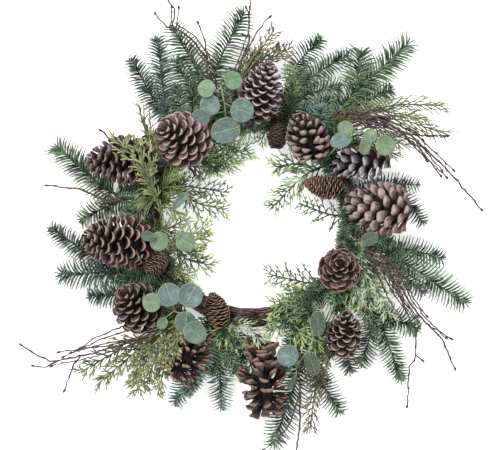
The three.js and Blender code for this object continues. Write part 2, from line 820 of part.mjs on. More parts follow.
// Lifts a cone clear of everything, then lets it straight down until it rests a hair above the ring,
// a stem or another cone.
function seat(solid, supports) {
  let drop = 0;
  let made = solid;
  while (supports.some((s) => made.minGap(s, 1) < 0.05)) {
    made = made.translate([0, 0, 1.5]);
    drop -= 1.5;
  }
  for (let i = 0; i < 60 && drop < MOST_DROP; i++) {
    const gap = Math.min(...supports.map((s) => made.minGap(s, 10)));
    if (gap < FIT_GAP + 0.12 || made.boundingBox().min[2] < 2) break;
    made = made.translate([0, 0, FIT_GAP - gap]);
    drop += gap - FIT_GAP;
  }
  return { solid: made, drop };
}

function reserveCone(spec, drop) {
  const at = vec(spec.at);
  at.z -= drop;
  const axis = direction(spec.turn, spec.rise);
  bodies.push({ at, axis, along: spec.length / 2, across: spec.width * 0.54 + 1.2, fullness: 6 });
}

// Starts a side shoot's line on the face of the stem that looks its way, and turns its first
// stretch clear of the stem. Returns that face.
function leaveStem(skin, faces, path, near, line, clearBy) {
  const stem = path[near + 1].clone().sub(path[near]).normalize();
  const aim = line[Math.min(2, line.length - 1)].clone().sub(line[0]).normalize();
  const aside = aim.clone().addScaledVector(stem, -aim.dot(stem)).normalize();
  const face = skin.facing(faces, aside);
  line[0] = skin.centre(face);
  line[1] = line[0].clone().addScaledVector(skin.normal(face), clearBy).addScaledVector(aim, clearBy);
  return face;
}

// ---------- Fir ----------
function firStems(name, spec) {
  const skin = new Skin();
  const shoots = [];
  const path = smooth(spec.main, NEEDLE_STEP);
  const stretches = skin.stem(path, (t) => THREE.MathUtils.lerp(FIR_STEM, FIR_STEM_TIP, t));
  shoots.push({ path, stretches });
  notePath(path, FIR_STEM, name + "0");
  spec.side.forEach((points, i) => {
    const start = vec(points[0]);
    let near = 0;
    path.forEach((p, k) => {
      if (k + 1 < path.length && p.distanceTo(start) < path[near].distanceTo(start)) near = k;
    });
    const from = path[near].clone().lerp(path[near + 1], 0.5);
    const line = smooth([from.toArray(), ...points.slice(1)], NEEDLE_STEP);
    const face = leaveStem(skin, stretches[near], path, near, line, 2.4);
    const side = skin.limb(face, line, (t) => THREE.MathUtils.lerp(FIR_STEM * 0.8, FIR_STEM_TIP, t));
    shoots.push({ path: line, stretches: side, skip: 1 });
    notePath(line.slice(1), FIR_STEM * 0.8, name + (i + 1));
  });
  return { name, skin, shoots };
}

// Flat needles all round each shoot, combed forward and shorter towards the tip: one to the left,
// one to the right, and one that takes its turn above, below and between.
function firNeedles(plant) {
  const random = draws(plant.name);
  const crown = [70, 250, 118, 290];
  plant.shoots.forEach((shoot, n) => {
    const id = plant.name + n;
    const count = shoot.stretches.length;
    shoot.stretches.forEach((faces, i) => {
      if (i < (shoot.skip || 0)) return;
      const way = tangent(shoot.path, i + 1);
      const tilt = i % 2 ? 16 : -16;
      const angles = [tilt, 180 - tilt];
      if (random() < CROWN_SHARE) angles.push(crown[i % 4]);
      for (const angle of angles) {
        const radial = aroundStem(way, angle + 14 * (random() - 0.5));
        const face = plant.skin.facing(faces, radial);
        if (face >= 0) raiseNeedle(plant.skin, face, way, radial, i / count, id, random);
      }
    });
    raiseNeedle(plant.skin, shoot.stretches.end, tangent(shoot.path, count), V(0, 0, 0), 1, id, random);
  });
}

// The way out of a stem at an angle round it, with 90 degrees straight up.
function aroundStem(way, angle) {
  const a = THREE.MathUtils.degToRad(angle);
  const side = way.clone().cross(UP).normalize();
  const up = side.clone().cross(way);
  return side.multiplyScalar(Math.cos(a)).addScaledVector(up, Math.sin(a));
}

function raiseNeedle(skin, f, way, radial, t, id, random) {
  if (skin.grown.has(f)) return;
  const foot = skin.centre(f);
  const length = NEEDLE_LENGTH * (1 - 0.28 * t * t) * (0.9 + 0.2 * random());
  const spread = THREE.MathUtils.lerp(1.08, 0.6, t * t) + 0.12 * (random() - 0.5);
  for (const [share, bend] of [[1, 0], [1, -0.3], [0.75, 0.2], [0.5, 0]]) {
    const lean = spread + bend;
    const line = way.clone().multiplyScalar(Math.cos(lean)).addScaledVector(radial, Math.sin(lean));
    const tip = foot.clone().addScaledVector(line.normalize(), length * share);
    if (tip.z < FLOOR_CLEAR + 0.4) tip.z = FLOOR_CLEAR + 0.4;
    if (clear(foot, tip, 0.7, id)) {
      skin.spike(f, tip);
      note(foot.clone().lerp(tip, 0.12), tip, 0.55, id);
      return;
    }
  }
}

// ---------- Cedar ----------
function cedarStems(name, spec) {
  const skin = new Skin();
  const shoots = [];
  spec.ribs.forEach((points, i) => {
    if (i === 0) {
      const path = jointedRib(points);
      const stretches = skin.stem(path, (t) => THREE.MathUtils.lerp(2, 0.9, t));
      shoots.push({ path, stretches });
      notePath(path, 2, name + "0");
      return;
    }
    const main = shoots[0];
    const start = vec(points[0]);
    let near = 0;
    main.path.forEach((p, k) => {
      if (k + 1 < main.path.length && p.distanceTo(start) < main.path[near].distanceTo(start)) near = k;
    });
    const from = main.path[near].clone().lerp(main.path[near + 1], 0.5);
    const line = jointedRib([from.toArray(), ...points.slice(1)]);
    const face = leaveStem(skin, main.stretches[near], main.path, near, line, 2.2);
    const side = skin.limb(face, line, (t) => THREE.MathUtils.lerp(1.7, 0.9, t));
    shoots.push({ path: line, stretches: side });
    notePath(line.slice(1), 1.8, name + i);
  });
  return { name, skin, shoots, reach: spec.reach };
}

// Side branches in turn left and right of each rib in the frond's own plane, each with pointed branchlets.
function cedarBranches(plant) {
  const random = draws(plant.name);
  plant.shoots.forEach((shoot, n) => {
    const id = plant.name + n;
    const count = shoot.stretches.length;
    shoot.stretches.forEach((faces, i) => {
      const t = i / count;
      if (t < 0.14 || i % 2 === 0) return;
      const way = tangent(shoot.path, i + 1);
      const across = way.clone().cross(UP).normalize();
      const hand = i % 4 === 1 ? 1 : -1;
      const length = plant.reach * CEDAR_SPREAD * (1.2 - 0.55 * t) * (0.85 + 0.3 * random());
      const line = way.clone().multiplyScalar(0.72).addScaledVector(across, hand * 0.68);
      line.z += 0.18 * (random() - 0.3);
      growBranchlet(plant.skin, faces, line.normalize(), length, id, random);
      const other = way.clone().multiplyScalar(0.8).addScaledVector(across, -hand * 0.6);
      const face = plant.skin.facing(faces, other);
      if (face >= 0) raisePoint(plant.skin, face, other, length * 0.55, id);
    });
    raisePoint(plant.skin, shoot.stretches.end, tangent(shoot.path, count), 11, id);
  });
}

function growBranchlet(skin, faces, line, length, id, random) {
  const f = skin.facing(faces, line);
  if (f < 0) return;
  const foot = skin.centre(f);
  for (const share of [1, 0.7]) {
    const end = foot.clone().addScaledVector(line, length * share);
    if (!clear(foot, end, 1.1, id)) continue;
    const joint = CEDAR_JOINT / length / share;
    const path = [foot, foot.clone().lerp(end, 0.42), foot.clone().lerp(end, 0.42 + joint)];
    const made = skin.limb(f, path, () => 0.95);
    note(path[0].clone().lerp(path[1], 0.4), path[2], 0.9, id);
    raisePoint(skin, made.end, line, length * share * 0.5, id);
    for (const side of [1, -1]) {
      const way = line.clone().applyAxisAngle(UP, side * (0.6 + 0.2 * random()));
      const face = skin.facing(made[1], way);
      if (face >= 0) raisePoint(skin, face, way, length * share * 0.45, id);
    }
    return;
  }
}

function raisePoint(skin, f, way, length, id) {
  if (skin.grown.has(f)) return;
  const foot = skin.centre(f);
  for (const share of [1, 0.6]) {
    const tip = foot.clone().addScaledVector(way, length * share);
    if (clear(foot, tip, 0.7, id)) {
      skin.spike(f, tip);
      note(foot.clone().lerp(tip, 0.2), tip, 0.6, id);
      return;
    }
  }
}

// ---------- Twigs ----------
// Thin stems with a swelling at each bend and a plump bud at the end.
function twigRadius(count, thick) {
  return (s) => {
    const at = s * (count - 1);
    const left = count - 1 - at;
    if (left < 0.4) return 0.7;
    if (left < 1.4) return 2.1;
    if (left < 2.4) return 0.9;
    return THREE.MathUtils.lerp(thick, 1.1, s) + (Math.round(at) % 2 ? 0.35 : 0);
  };
}

// The line of a twig with a short bud added at its end.
function withBud(points) {
  const line = points.map(vec);
  const way = tangent(line, line.length - 1);
  const end = line[line.length - 1];
  return [...line, end.clone().addScaledVector(way, 3.2), end.clone().addScaledVector(way, 6.4)];
}

// The point nearest to p on one stretch of a path.
function onStretch(path, k, p) {
  return new THREE.Line3(path[k], path[k + 1]).closestPointToPoint(p, true, V(0, 0, 0));
}

function twigBundle(name, stems) {
  const skin = new Skin();
  const path = withBud(stems[0]);
  const stretches = skin.stem(path, twigRadius(path.length, 2));
  notePath(path, 2, name + "0");
  stems.slice(1).forEach((points, i) => {
    const start = vec(points[0]);
    let near = 0;
    let nearest = 1e9;
    for (let k = 0; k + 1 < path.length; k++) {
      const foot = onStretch(path, k, start);
      const d = foot.distanceTo(start);
      if (d < nearest && k < path.length - 3) {
        nearest = d;
        near = k;
      }
    }
    const line = withBud(points);
    line[0] = onStretch(path, near, start);
    line.splice(1, 0, line[0].clone());
    const face = leaveStem(skin, stretches[near], path, near, line, 2.4);
    skin.limb(face, line, twigRadius(line.length, 1.4));
    notePath(line.slice(1), 1.6, name + (i + 1));
  });
  return { name, skin };
}

// ---------- Eucalyptus ----------
function leafBasis(turn, lean) {
  const a = THREE.MathUtils.degToRad(turn);
  const e = THREE.MathUtils.degToRad(lean);
  const flat = V(Math.cos(a), Math.sin(a), 0);
  const normal = UP.clone().multiplyScalar(Math.cos(e)).addScaledVector(flat, Math.sin(e));
  const along = flat.clone().multiplyScalar(Math.cos(e)).addScaledVector(UP, -Math.sin(e));
  return { normal, along, across: normal.clone().cross(along) };
}

// A round blade of even thickness, slightly cupped and drawn to a blunt point.
function leafSolid([x, y, z, radius, share, turn, lean]) {
  const skin = new Skin();
  const { normal, along, across } = leafBasis(turn, lean);
  const at = V(x, y, z);
  const upper = [];
  const lower = [];
  for (let k = 0; k < LEAF_SIDES; k++) {
    const a = (k / LEAF_SIDES) * 2 * Math.PI;
    const r = radius * (1 + 0.06 * Math.cos(a));
    const edge = at.clone();
    edge.addScaledVector(along, r * Math.cos(a)).addScaledVector(across, r * share * Math.sin(a));
    edge.addScaledVector(normal, radius * 0.1);
    upper.push(skin.point(edge.clone().addScaledVector(normal, LEAF_THICK / 2)));
    lower.push(skin.point(edge.clone().addScaledVector(normal, -LEAF_THICK / 2)));
  }
  const top = skin.point(at.clone().addScaledVector(normal, LEAF_THICK / 2));
  const bottom = skin.point(at.clone().addScaledVector(normal, -LEAF_THICK / 2));
  for (let k = 0; k < LEAF_SIDES; k++) {
    const m = (k + 1) % LEAF_SIDES;
    skin.face(top, upper[k], upper[m]);
    skin.face(bottom, lower[m], lower[k]);
    skin.face(upper[k], lower[k], lower[m]);
    skin.face(upper[k], lower[m], upper[m]);
  }
  return skin.solid();
}

function stalkSolid(from, to) {
  const skin = new Skin();
  skin.stem([from, to], () => 0.95);
  return skin.solid();
}

function eucalyptus(name, spec) {
  const path = smooth(spec.stem, LEAF_STEM_STEP);
  const skin = new Skin();
  skin.stem(path, (t) => 1.7 - 0.5 * t);
  let whole = skin.solid();
  const free = path.slice(Math.floor(path.length * 0.55));
  for (const leaf of spec.leaves) {
    const { along, normal } = leafBasis(leaf[5], leaf[6]);
    const base = V(leaf[0], leaf[1], leaf[2]).addScaledVector(along, -leaf[3] * 0.95);
    base.addScaledVector(normal, leaf[3] * 0.08);
    const foot = free.reduce((best, p) => (p.distanceTo(base) < best.distanceTo(base) ? p : best));
    const past = base.clone().addScaledVector(along, 1.6);
    whole = whole.add(leafSolid(leaf)).add(stalkSolid(foot, past));
  }
  return whole.asOriginal().simplify(0.15);
}

function reserveLeaves(spec) {
  for (const leaf of spec.leaves) {
    const axis = leafBasis(leaf[5], leaf[6]).normal;
    const at = V(leaf[0], leaf[1], leaf[2]).addScaledVector(axis, 1);
    bodies.push({ at, axis, along: 2.6, across: leaf[3] * 1.07, fullness: 2 });
  }
}

// ---------- Putting the wreath together ----------
function largest(solid) {
  return solid.decompose().reduce((best, s) => (s.volume() > best.volume() ? s : best));
}

function toMesh(name, solid, colour, roughness) {
  const made = solid.getMesh();
  const n = made.numProp;
  const flat = new Float32Array(made.numVert * 3);
  for (let i = 0; i < made.numVert; i++) flat.set(made.vertProperties.subarray(i * n, i * n + 3), i * 3);
  const geometry = new THREE.BufferGeometry();
  geometry.setAttribute("position", new THREE.BufferAttribute(flat, 3));
  geometry.setIndex(new THREE.BufferAttribute(new Uint32Array(made.triVerts), 1));
  geometry.computeVertexNormals();
  const material = new THREE.MeshStandardMaterial({ color: colour, roughness, metalness: 0 });
  const mesh = new THREE.Mesh(geometry, material);
  mesh.name = name;
  return mesh;
}

const wreath = new THREE.Group();
wreath.name = "evergreen_wreath";

const ring = vineRing(0);
const ringRoom = vineRing(FIT_GAP);
wreath.add(toMesh("vine_ring", ring, COLOURS.vine, 0.9));

const sprigs = Object.entries(EUCALYPTUS).map(([name, spec]) => {
  notePath(smooth(spec.stem, LEAF_STEM_STEP), 1.8, name);
  reserveLeaves(spec);
  return { name, solid: eucalyptus(name, spec), hue: spec.hue };
});
const firs = Object.entries(FIR).map(([name, spec]) => firStems(name, spec));
const cedars = Object.entries(CEDAR).map(([name, spec]) => cedarStems(name, spec));
const twigs = Object.entries(TWIGS).map(([name, stems]) => twigBundle(name, stems));

const supports = [ring, ...[...firs, ...cedars, ...twigs].map((plant) => plant.skin.solid())];
const laid = [
  ...Object.entries(CONES).map(([name, spec]) => [name, spec, openCone(name, spec), COLOURS.cone]),
  ...Object.entries(SMALL_CONES).map(([name, spec]) => [
    name,
    spec,
    closedCone(name, spec),
    COLOURS.smallCone,
  ]),
];
for (const [name, spec, cone, colour] of laid) {
  const { solid, drop } = seat(layCone(cone, spec), supports);
  supports.push(solid);
  reserveCone(spec, drop);
  wreath.add(toMesh(name, solid, colour, 0.8));
}

cedars.forEach(cedarBranches);
firs.forEach(firNeedles);

for (const plant of firs)
  wreath.add(toMesh(plant.name, largest(plant.skin.solid().subtract(ringRoom)), COLOURS.fir, 0.7));
for (const plant of cedars) {
  const colour = COLOURS[CEDAR[plant.name].hue];
  wreath.add(toMesh(plant.name, largest(plant.skin.solid().subtract(ringRoom)), colour, 0.7));
}
for (const plant of twigs)
  wreath.add(toMesh(plant.name, largest(plant.skin.solid().subtract(ringRoom)), COLOURS.twig, 0.85));
for (const { name, solid, hue } of sprigs)
  wreath.add(toMesh(name, largest(solid.subtract(ringRoom)), COLOURS[hue], 0.6));

// The origin is under the middle of the whole wreath.
const bounds = new THREE.Box3().setFromObject(wreath);
const middle = bounds.getCenter(V(0, 0, 0));
wreath.position.set(-middle.x, -middle.y, 0);

export default wreath;
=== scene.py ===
# %% [markdown]
# # A fresh evergreen wreath
# Fir branches, cedar fronds, knuckled twigs, round eucalyptus leaves and pine cones are pushed into a
# ring of grapevine. The frame gives each piece's place and size. This script grows the fine surface:
# every needle, scale, vein and bud is modelled, because a wreath is looked at from a hand's breadth away.

# %% Load the frame
import math
import random
from collections import namedtuple

import bpy
import numpy as np
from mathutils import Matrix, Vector


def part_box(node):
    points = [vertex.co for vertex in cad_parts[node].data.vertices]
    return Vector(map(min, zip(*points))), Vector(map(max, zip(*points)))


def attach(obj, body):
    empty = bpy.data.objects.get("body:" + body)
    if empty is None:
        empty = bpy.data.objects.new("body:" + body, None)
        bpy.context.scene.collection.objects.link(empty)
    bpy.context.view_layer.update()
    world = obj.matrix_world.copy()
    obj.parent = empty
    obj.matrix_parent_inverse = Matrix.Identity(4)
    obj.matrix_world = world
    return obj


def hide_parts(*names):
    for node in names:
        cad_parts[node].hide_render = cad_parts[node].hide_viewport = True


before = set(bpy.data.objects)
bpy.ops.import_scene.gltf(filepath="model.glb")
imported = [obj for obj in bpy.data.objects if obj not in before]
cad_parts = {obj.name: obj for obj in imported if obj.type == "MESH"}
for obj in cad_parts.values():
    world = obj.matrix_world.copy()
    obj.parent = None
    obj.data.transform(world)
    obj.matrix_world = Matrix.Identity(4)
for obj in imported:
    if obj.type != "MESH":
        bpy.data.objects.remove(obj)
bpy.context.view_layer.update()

# The routes below are in millimetres, and Blender works in metres.
MM = 0.001
ring_low, ring_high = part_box("vine_ring")
RING = np.array((ring_low + ring_high) / 2) / MM
RING[2] = 0.0
print("ring centre, mm:", RING.round(2))

# %% [markdown]
# ## Where the foliage goes
# On the real wreath each sprig is a cut stem with its side shoots, pushed into the ring. Each could be a
# Blender curve. Here it is a short list of points, because the same points steer the stem, the side
# branches and every needle. Nearly all repeat the frame's own routes, in millimetres from the ring's centre:
# x to the right, y to the top of the wreath, z up from the surface that it lies on.

# %% Fir branches
# A branch is a main line and the side shoots off it.
FIR = {
    "fir_top_left": [
        [(-84, 108, 14), (-118, 150, 12), (-133, 251, 34)],
        [(-110, 140, 12), (-132, 160, 14), (-168, 221, 36)],
    ],
    "fir_top": [
        [(-52, 128, 14), (-62, 178, 15), (-109, 265, 36)],
        [(-58, 160, 14), (-82, 180, 16), (-108, 221, 22)],
        [(-62, 178, 15), (-50, 215, 24), (-14, 286, 36)],
    ],
    "fir_top_right": [
        [(60, 128, 14), (64, 182, 18), (132, 231, 36)],
        [(64, 182, 18), (62, 214, 26), (94, 251, 38)],
        [(63, 165, 16), (84, 180, 18), (120, 186, 22)],
    ],
    "fir_right_high": [
        [(96, 104, 14), (128, 158, 14), (216, 244, 40)],
        [(146, 175, 16), (149, 200, 22), (152, 231, 28)],
        [(126, 156, 14), (150, 162, 14), (193, 182, 20)],
    ],
    "fir_right": [
        [(137, 30, 13), (190, 50, 11), (231, 48, 30)],
        [(186, 49, 11), (212, 34, 14), (240, -2, 26)],
    ],
    "fir_right_low": [
        [(135, -36, 14), (192, -50, 15), (297, -115, 32)],
        [(180, -45, 14), (214, -42, 22), (265, -54, 34)],
        [(186, -48, 15), (208, -74, 14), (240, -101, 18)],
    ],
    "fir_low_right": [
        [(112, -86, 13), (174, -138, 15), (209, -223, 32)],
        [(164, -128, 14), (190, -136, 18), (230, -154, 26)],
        [(168, -134, 15), (168, -162, 18), (155, -202, 26)],
    ],
    "fir_bottom_right": [
        [(62, -126, 13), (70, -196, 14), (32, -314, 28)],
        [(66, -146, 14), (118, -158, 12), (138, -212, 20)],
        [(70, -190, 14), (92, -222, 18), (122, -269, 28)],
    ],
    "fir_bottom": [
        [(-36, -135, 13), (-45, -190, 14), (-43, -263, 28)],
        [(-42, -165, 14), (-76, -202, 12), (-107, -257, 18)],
    ],
    "fir_left_low": [
        [(-114, -82, 13), (-176, -76, 12), (-267, -78, 22)],
        [(-180, -76, 12), (-224, -54, 14), (-281, -15, 30)],
        [(-148, -80, 12), (-178, -105, 11), (-226, -109, 16)],
    ],
    "fir_left_high": [
        [(-138, 26, 14), (-190, 34, 14), (-273, 99, 30)],
        [(-172, 30, 14), (-204, 18, 12), (-239, 1, 16)],
    ],
}
print(len(FIR), "fir branches,", sum(len(shoots) for shoots in FIR.values()), "shoots")

# %% Cedar fronds
# Each has a colour, the reach of its side branches, and its ribs.
CEDAR = {
    "cedar_upper_left": (
        "sparse", 8,
        [(-116, 72, 16), (-121, 75, 62), (-131, 92, 88), (-146, 120, 97), (-155, 152, 94)],
    ),
    "cedar_over_cone": (
        "coarse", 5.0,
        [(-126, 58, 16), (-146, 54, 62), (-152, 74, 92), (-190, 110, 96)],
        [(-152, 74, 92), (-160, 108, 98)],
    ),
    "cedar_left_heart": (
        "tuft", 18,
        [(-130, 48, 20), (-128, 40, 46), (-108, 60, 58)],
        [(-128, 40, 46), (-150, 22, 62)],
    ),
    "cedar_inner_top": ("bright", 22, [(-106, 92, 16), (-82, 84, 30), (-8, 96, 34)]),
    "cedar_inner_left": (
        "grey", 17,
        [(-130, 44, 14), (-92, 46, 24), (-40, 38, 30)],
        [(-104, 46, 22), (-80, 24, 30), (-42, 14, 30)],
    ),
    "cedar_left_inner": (
        "yellow", 17,
        [(-134, -38, 16), (-106, -32, 34), (-64, -12, 40)],
        [(-110, -34, 32), (-92, -56, 40), (-62, -64, 40)],
    ),
    "cedar_top": (
        "brown", 14,
        [(-16, 138, 14), (-17, 190, 22), (29, 262, 40)],
        [(-8, 204, 24), (18, 222, 30), (50, 238, 38)],
    ),
    "cedar_top_mid": ("moss", 13, [(46, 132, 18), (56, 166, 48), (52, 206, 62)]),
    "cedar_right_high": (
        "strand", 16,
        [(102, 96, 18), (130, 132, 52), (196, 158, 64), (262, 158, 58)],
        [(150, 140, 56), (206, 138, 66), (262, 122, 50)],
    ),
    "cedar_inner_right": (
        "bright", 18,
        [(114, 78, 14), (80, 66, 24), (31, 20, 30)],
        [(88, 70, 22), (64, 78, 30), (34, 74, 32)],
    ),
    "cedar_inner_mid": ("grey", 15, [(138, 6, 14), (112, 6, 22), (74, 20, 26)]),
    "cedar_inner_low": (
        "bright", 19,
        [(104, -94, 14), (78, -90, 26), (26, -78, 32)],
        [(86, -90, 24), (64, -116, 34), (34, -120, 40)],
    ),
    "cedar_bottom_mid": (
        "bright", 16,
        [(46, -132, 18), (52, -140, 46), (26, -158, 56)],
        [(52, -140, 46), (70, -164, 56)],
    ),
    "cedar_bottom": (
        "bright", 15,
        [(-36, -135, 20), (-34, -150, 36), (-58, -172, 44)],
        [(-35, -146, 32), (-14, -176, 12), (8, -236, 12)],
    ),
    "cedar_right_low": (
        "grey", 18,
        [(138, -26, 20), (154, -56, 52), (190, -128, 50)],
        [(154, -60, 52), (160, -100, 50), (166, -140, 42)],
    ),
    "cedar_bottom_left": (
        "olive", 15,
        [(-88, -110, 16), (-132, -158, 22), (-212, -228, 36)],
        [(-128, -154, 22), (-150, -200, 30), (-162, -240, 34)],
        [(-140, -164, 24), (-186, -184, 34), (-236, -212, 38)],
    ),
    "cedar_bottom_right": ("brown", 15, [(80, -116, 16), (92, -190, 40), (82, -292, 38)]),
}
print(len(CEDAR), "cedar fronds")

# %% Twigs
# Each bundle is a list of stems. The first starts inside the ring, and the others fork off it.
TWIGS = {
    "twigs_top_left": [
        [(-50, 130, 22), (-54, 186, 56), (-64, 224, 62), (-85, 251, 66), (-110, 268, 68),
         (-108, 292, 66), (-124, 314, 64)],
        [(-106, 264, 68), (-118, 266, 70), (-133, 283, 68)],
        [(-62, 222, 62), (-66, 248, 72), (-74, 270, 74)],
        [(-54, 184, 56), (-76, 214, 70), (-92, 240, 78)],
    ],
    "twigs_top": [
        [(-24, 137, 20), (-26, 190, 50), (-4, 250, 58), (-4, 284, 60), (0, 316, 60)],
        [(-3, 280, 60), (-7, 292, 63)],
        [(-14, 222, 54), (8, 262, 62), (23, 280, 62)],
    ],
    "twigs_right_high": [
        [(108, 90, 20), (134, 128, 68), (176, 138, 70), (222, 116, 66), (252, 88, 60), (276, 66, 56),
         (320, 15, 46)],
        [(218, 118, 66), (244, 116, 68), (269, 116, 66)],
        [(226, 112, 65), (234, 98, 66), (243, 84, 62)],
        [(150, 134, 69), (196, 130, 74), (232, 100, 68), (262, 62, 58)],
    ],
    "twigs_bottom_left": [
        [(-92, -106, 20), (-118, -152, 60), (-166, -170, 58), (-222, -188, 54), (-279, -200, 48),
         (-300, -192, 46), (-322, -178, 44)],
        [(-240, -192, 52), (-250, -204, 52), (-262, -238, 48)],
        [(-150, -166, 59), (-200, -172, 64), (-250, -186, 58)],
        [(-272, -199, 49), (-290, -208, 50), (-304, -206, 50)],
    ],
    "twigs_right_low": [
        [(138, -20, 18), (164, -44, 62), (196, -70, 66), (218, -114, 64), (236, -138, 60),
         (266, -168, 54), (283, -207, 48)],
        [(250, -152, 57), (262, -156, 60), (276, -166, 58)],
        [(200, -76, 66), (214, -128, 68), (228, -158, 62), (229, -192, 56), (220, -206, 54),
         (218, -260, 46)],
        [(229, -190, 56), (236, -196, 58)],
    ],
    "twigs_bottom": [
        [(58, -128, 20), (66, -180, 24), (68, -240, 26), (67, -288, 46), (62, -328, 48)],
        [(68, -244, 28), (54, -286, 46), (36, -310, 50), (18, -322, 48)],
    ],
    "twig_left_high": [[(-122, 68, 20), (-156, 82, 12), (-196, 108, 13), (-212, 124, 22)]],
    "twigs_left": [
        [(-139, 18, 18), (-174, 24, 44), (-208, 26, 46), (-240, 42, 46), (-286, 47, 42)],
        [(-190, 25, 45), (-214, 40, 50), (-228, 56, 50)],
    ],
}
print(len(TWIGS), "twig bundles")

# %% Eucalyptus
# Each sprig has a stem and its leaves: centre x, y, z, radius, width share, which way the leaf points
# and how far it leans that way, both in degrees, and its bloom: 0 green, 1 blue, 2 blue in painted shade.
EUCALYPTUS = {
    "eucalyptus_top": (
        [(-34, 134, 22), (-36, 138, 62), (-38, 158, 78), (-43, 184, 80)],
        (-62, 180, 80, 12.6, 1, 160, 20, 0.05),
        (-27, 191, 84, 12.8, 1, 20, 18, 0.0),
        (-57, 158, 78, 14.5, 1, 200, 16, 0.85),
        (-71, 140, 74, 14, 0.9, 200, 22, 1.35),
        (-15, 150, 88, 16.5, 1, 340, 14, 0.8),
        (-35, 123, 76, 21, 0.84, 194, 12, 1.34),
    ),
    "eucalyptus_right": (
        [(104, 88, 22), (114, 96, 66), (134, 122, 78), (168, 112, 80)],
        (124, 109, 84, 15.5, 0.68, 198, 16, 0.75),
        (130, 124, 79, 12, 0.9, 120, 22, 0.1),
        (156, 101, 84, 12.5, 0.62, 262, 22, 0.0),
        (163, 114, 86, 11, 0.85, 70, 22, 0.05),
        (183, 102, 82, 14.2, 1, 350, 14, 0.0),
    ),
    "eucalyptus_left_low": (
        [(-92, -104, 22), (-112, -124, 66), (-102, -130, 76), (-86, -130, 80)],
        (-138, -116, 78, 13.2, 1, 170, 14, 0.05),
        (-114, -106, 79, 16.5, 1, 110, 12, 0.95),
        (-86, -107, 84, 17.5, 1, 60, 14, 0.9),
        (-92, -142, 78, 17, 0.9, 280, 16, 0.6),
        (-80, -156, 86, 17.5, 0.85, 320, 18, 0.6),
        (-124, -144, 73, 10.5, 0.7, 240, 30, 0.1),
    ),
    "eucalyptus_left": (
        [(-134, -16, 20), (-120, -18, 58), (-108, -26, 68)],
        (-128, -30, 82, 14, 0.9, 235, 14, 0.1),
        (-143, -24, 84, 11, 0.62, 176, 24, 1.6),
        (-93, -31, 74, 14, 1, 330, 14, 0.1),
        (-101, 24, 66, 17, 0.32, 49, 18, 0.9),
    ),
    "eucalyptus_bottom": (
        [(74, -120, 20), (80, -140, 54), (84, -168, 66), (62, -204, 74)],
        (50, -189, 88, 15, 1, 150, 12, 1.0),
        (91, -143, 74, 18.5, 0.56, 275, 16, 1.7),
        (83, -199, 72, 18, 0.56, 288, 18, 1.7),
        (56, -226, 72, 13, 0.28, 240, 30, 1.5),
    ),
    "eucalyptus_right_low": (
        [(136, -30, 18), (146, -36, 46), (157, -42, 60)],
        (162, -28, 76, 13, 0.72, 20, 14, 1.7),
        (150, -56, 60, 11, 0.5, 260, 26, 1.5),
    ),
}
print(len(EUCALYPTUS), "eucalyptus sprigs")

# %% Cones
# Length and width, the way the tip points (degrees round, then degrees up), how the scales stand, how many
# there are, the half width of one as a share of the cone's, and which wood it has.
CONES = {
    "cone_upper_left": (88, 80, 150, 52, "rose", 84, 0.100, "rose"),
    "cone_left_high": (98, 72, 184, 12, "open", 78, 0.118, "plum"),
    "cone_top": (92, 64, 72, 24, "open", 88, 0.108, "lilac"),
    "cone_top_right": (76, 62, 118, 34, "shut", 58, 0.098, "dusk"),
    "cone_right_high": (92, 56, 196, 2, "shut", 50, 0.122, "slate"),
    "cone_right": (97, 78, 172, -6, "shut", 66, 0.102, "mauve"),
    "cone_left": (104, 80, 176, 20, "open", 92, 0.112, "tan"),
    "cone_left_low": (82, 72, 132, 48, "rose", 76, 0.106, "umber"),
    "cone_bottom_left": (84, 64, 60, -4, "fingers", 132, 0.056, "bark"),
    "cone_bottom": (114, 76, 94, 8, "wedges", 110, 0.098, "red"),
    "cone_inner_right": (70, 62, 96, 74, "rose", 60, 0.122, "rust"),
    "cone_right_low": (80, 52, 84, 36, "open", 72, 0.128, "clay"),
}
SMALL_CONES = {
    "small_cone_top": (44, 29, 84, -24, "dark"),
    "small_cone_right": (58, 36, 168, 4, "orange"),
    "small_cone_left": (40, 34, 240, 44, "orange"),
    "small_cone_low": (54, 37, 104, 22, "orange"),
}
# How far a cone sits from its place in the frame, where it is pressed against its neighbours.
NUDGE = {
    "small_cone_left": (-7, 11, 0),
    "small_cone_top": (0, 6, 0),
    "cone_left_low": (-2, -3, 0),
    "cone_bottom_left": (-4, 2, 0),
}
print(len(CONES), "large cones,", len(SMALL_CONES), "small ones")

# %% [markdown]
# ## Growing thousands of small shapes
# This wreath holds about sixteen thousand needles, besides its scales, threads and buds. Hair particles
# would be quick to comb, but they hide the form of a needle. So each kind of shape is modelled once as a
# small closed mesh, and stamped along the plant with its own length, width, bend and shade. Numpy places
# a whole branch's worth in one step, so the mesh is real and the script stays quick.

# %% A mesh that grows
UP = np.array([0.0, 0.0, 1.0])
# What a material can read at each point: how far along its shape it is, how near the shape's edge, a shade
# of the shape's own, which face it is on, and how far up the cone the shape stands.
MARKS = ("along", "edge", "shade", "face", "order")
# Nothing goes lower than this, so that the wreath rests on the floor, and not in it.
LOWEST = 0.25


def unit(v):
    length = np.linalg.norm(v, axis=-1, keepdims=True)
    return v / np.maximum(length, 1e-9)


class Growth:
    """Points in millimetres from the ring's centre, faces, and values that the materials read."""

    def __init__(self):
        self.points = []
        self.faces = []
        self.values = {mark: [] for mark in MARKS}
        self.total = 0

    def add(self, points, faces, **values):
        for block in faces:
            self.faces.append(np.asarray(block) + self.total)
        self.points.append(points)
        for mark in MARKS:
            value = np.broadcast_to(values.get(mark, 0.0), len(points))
            self.values[mark].append(value)
        self.total += len(points)


print("each point carries:", ", ".join(MARKS))


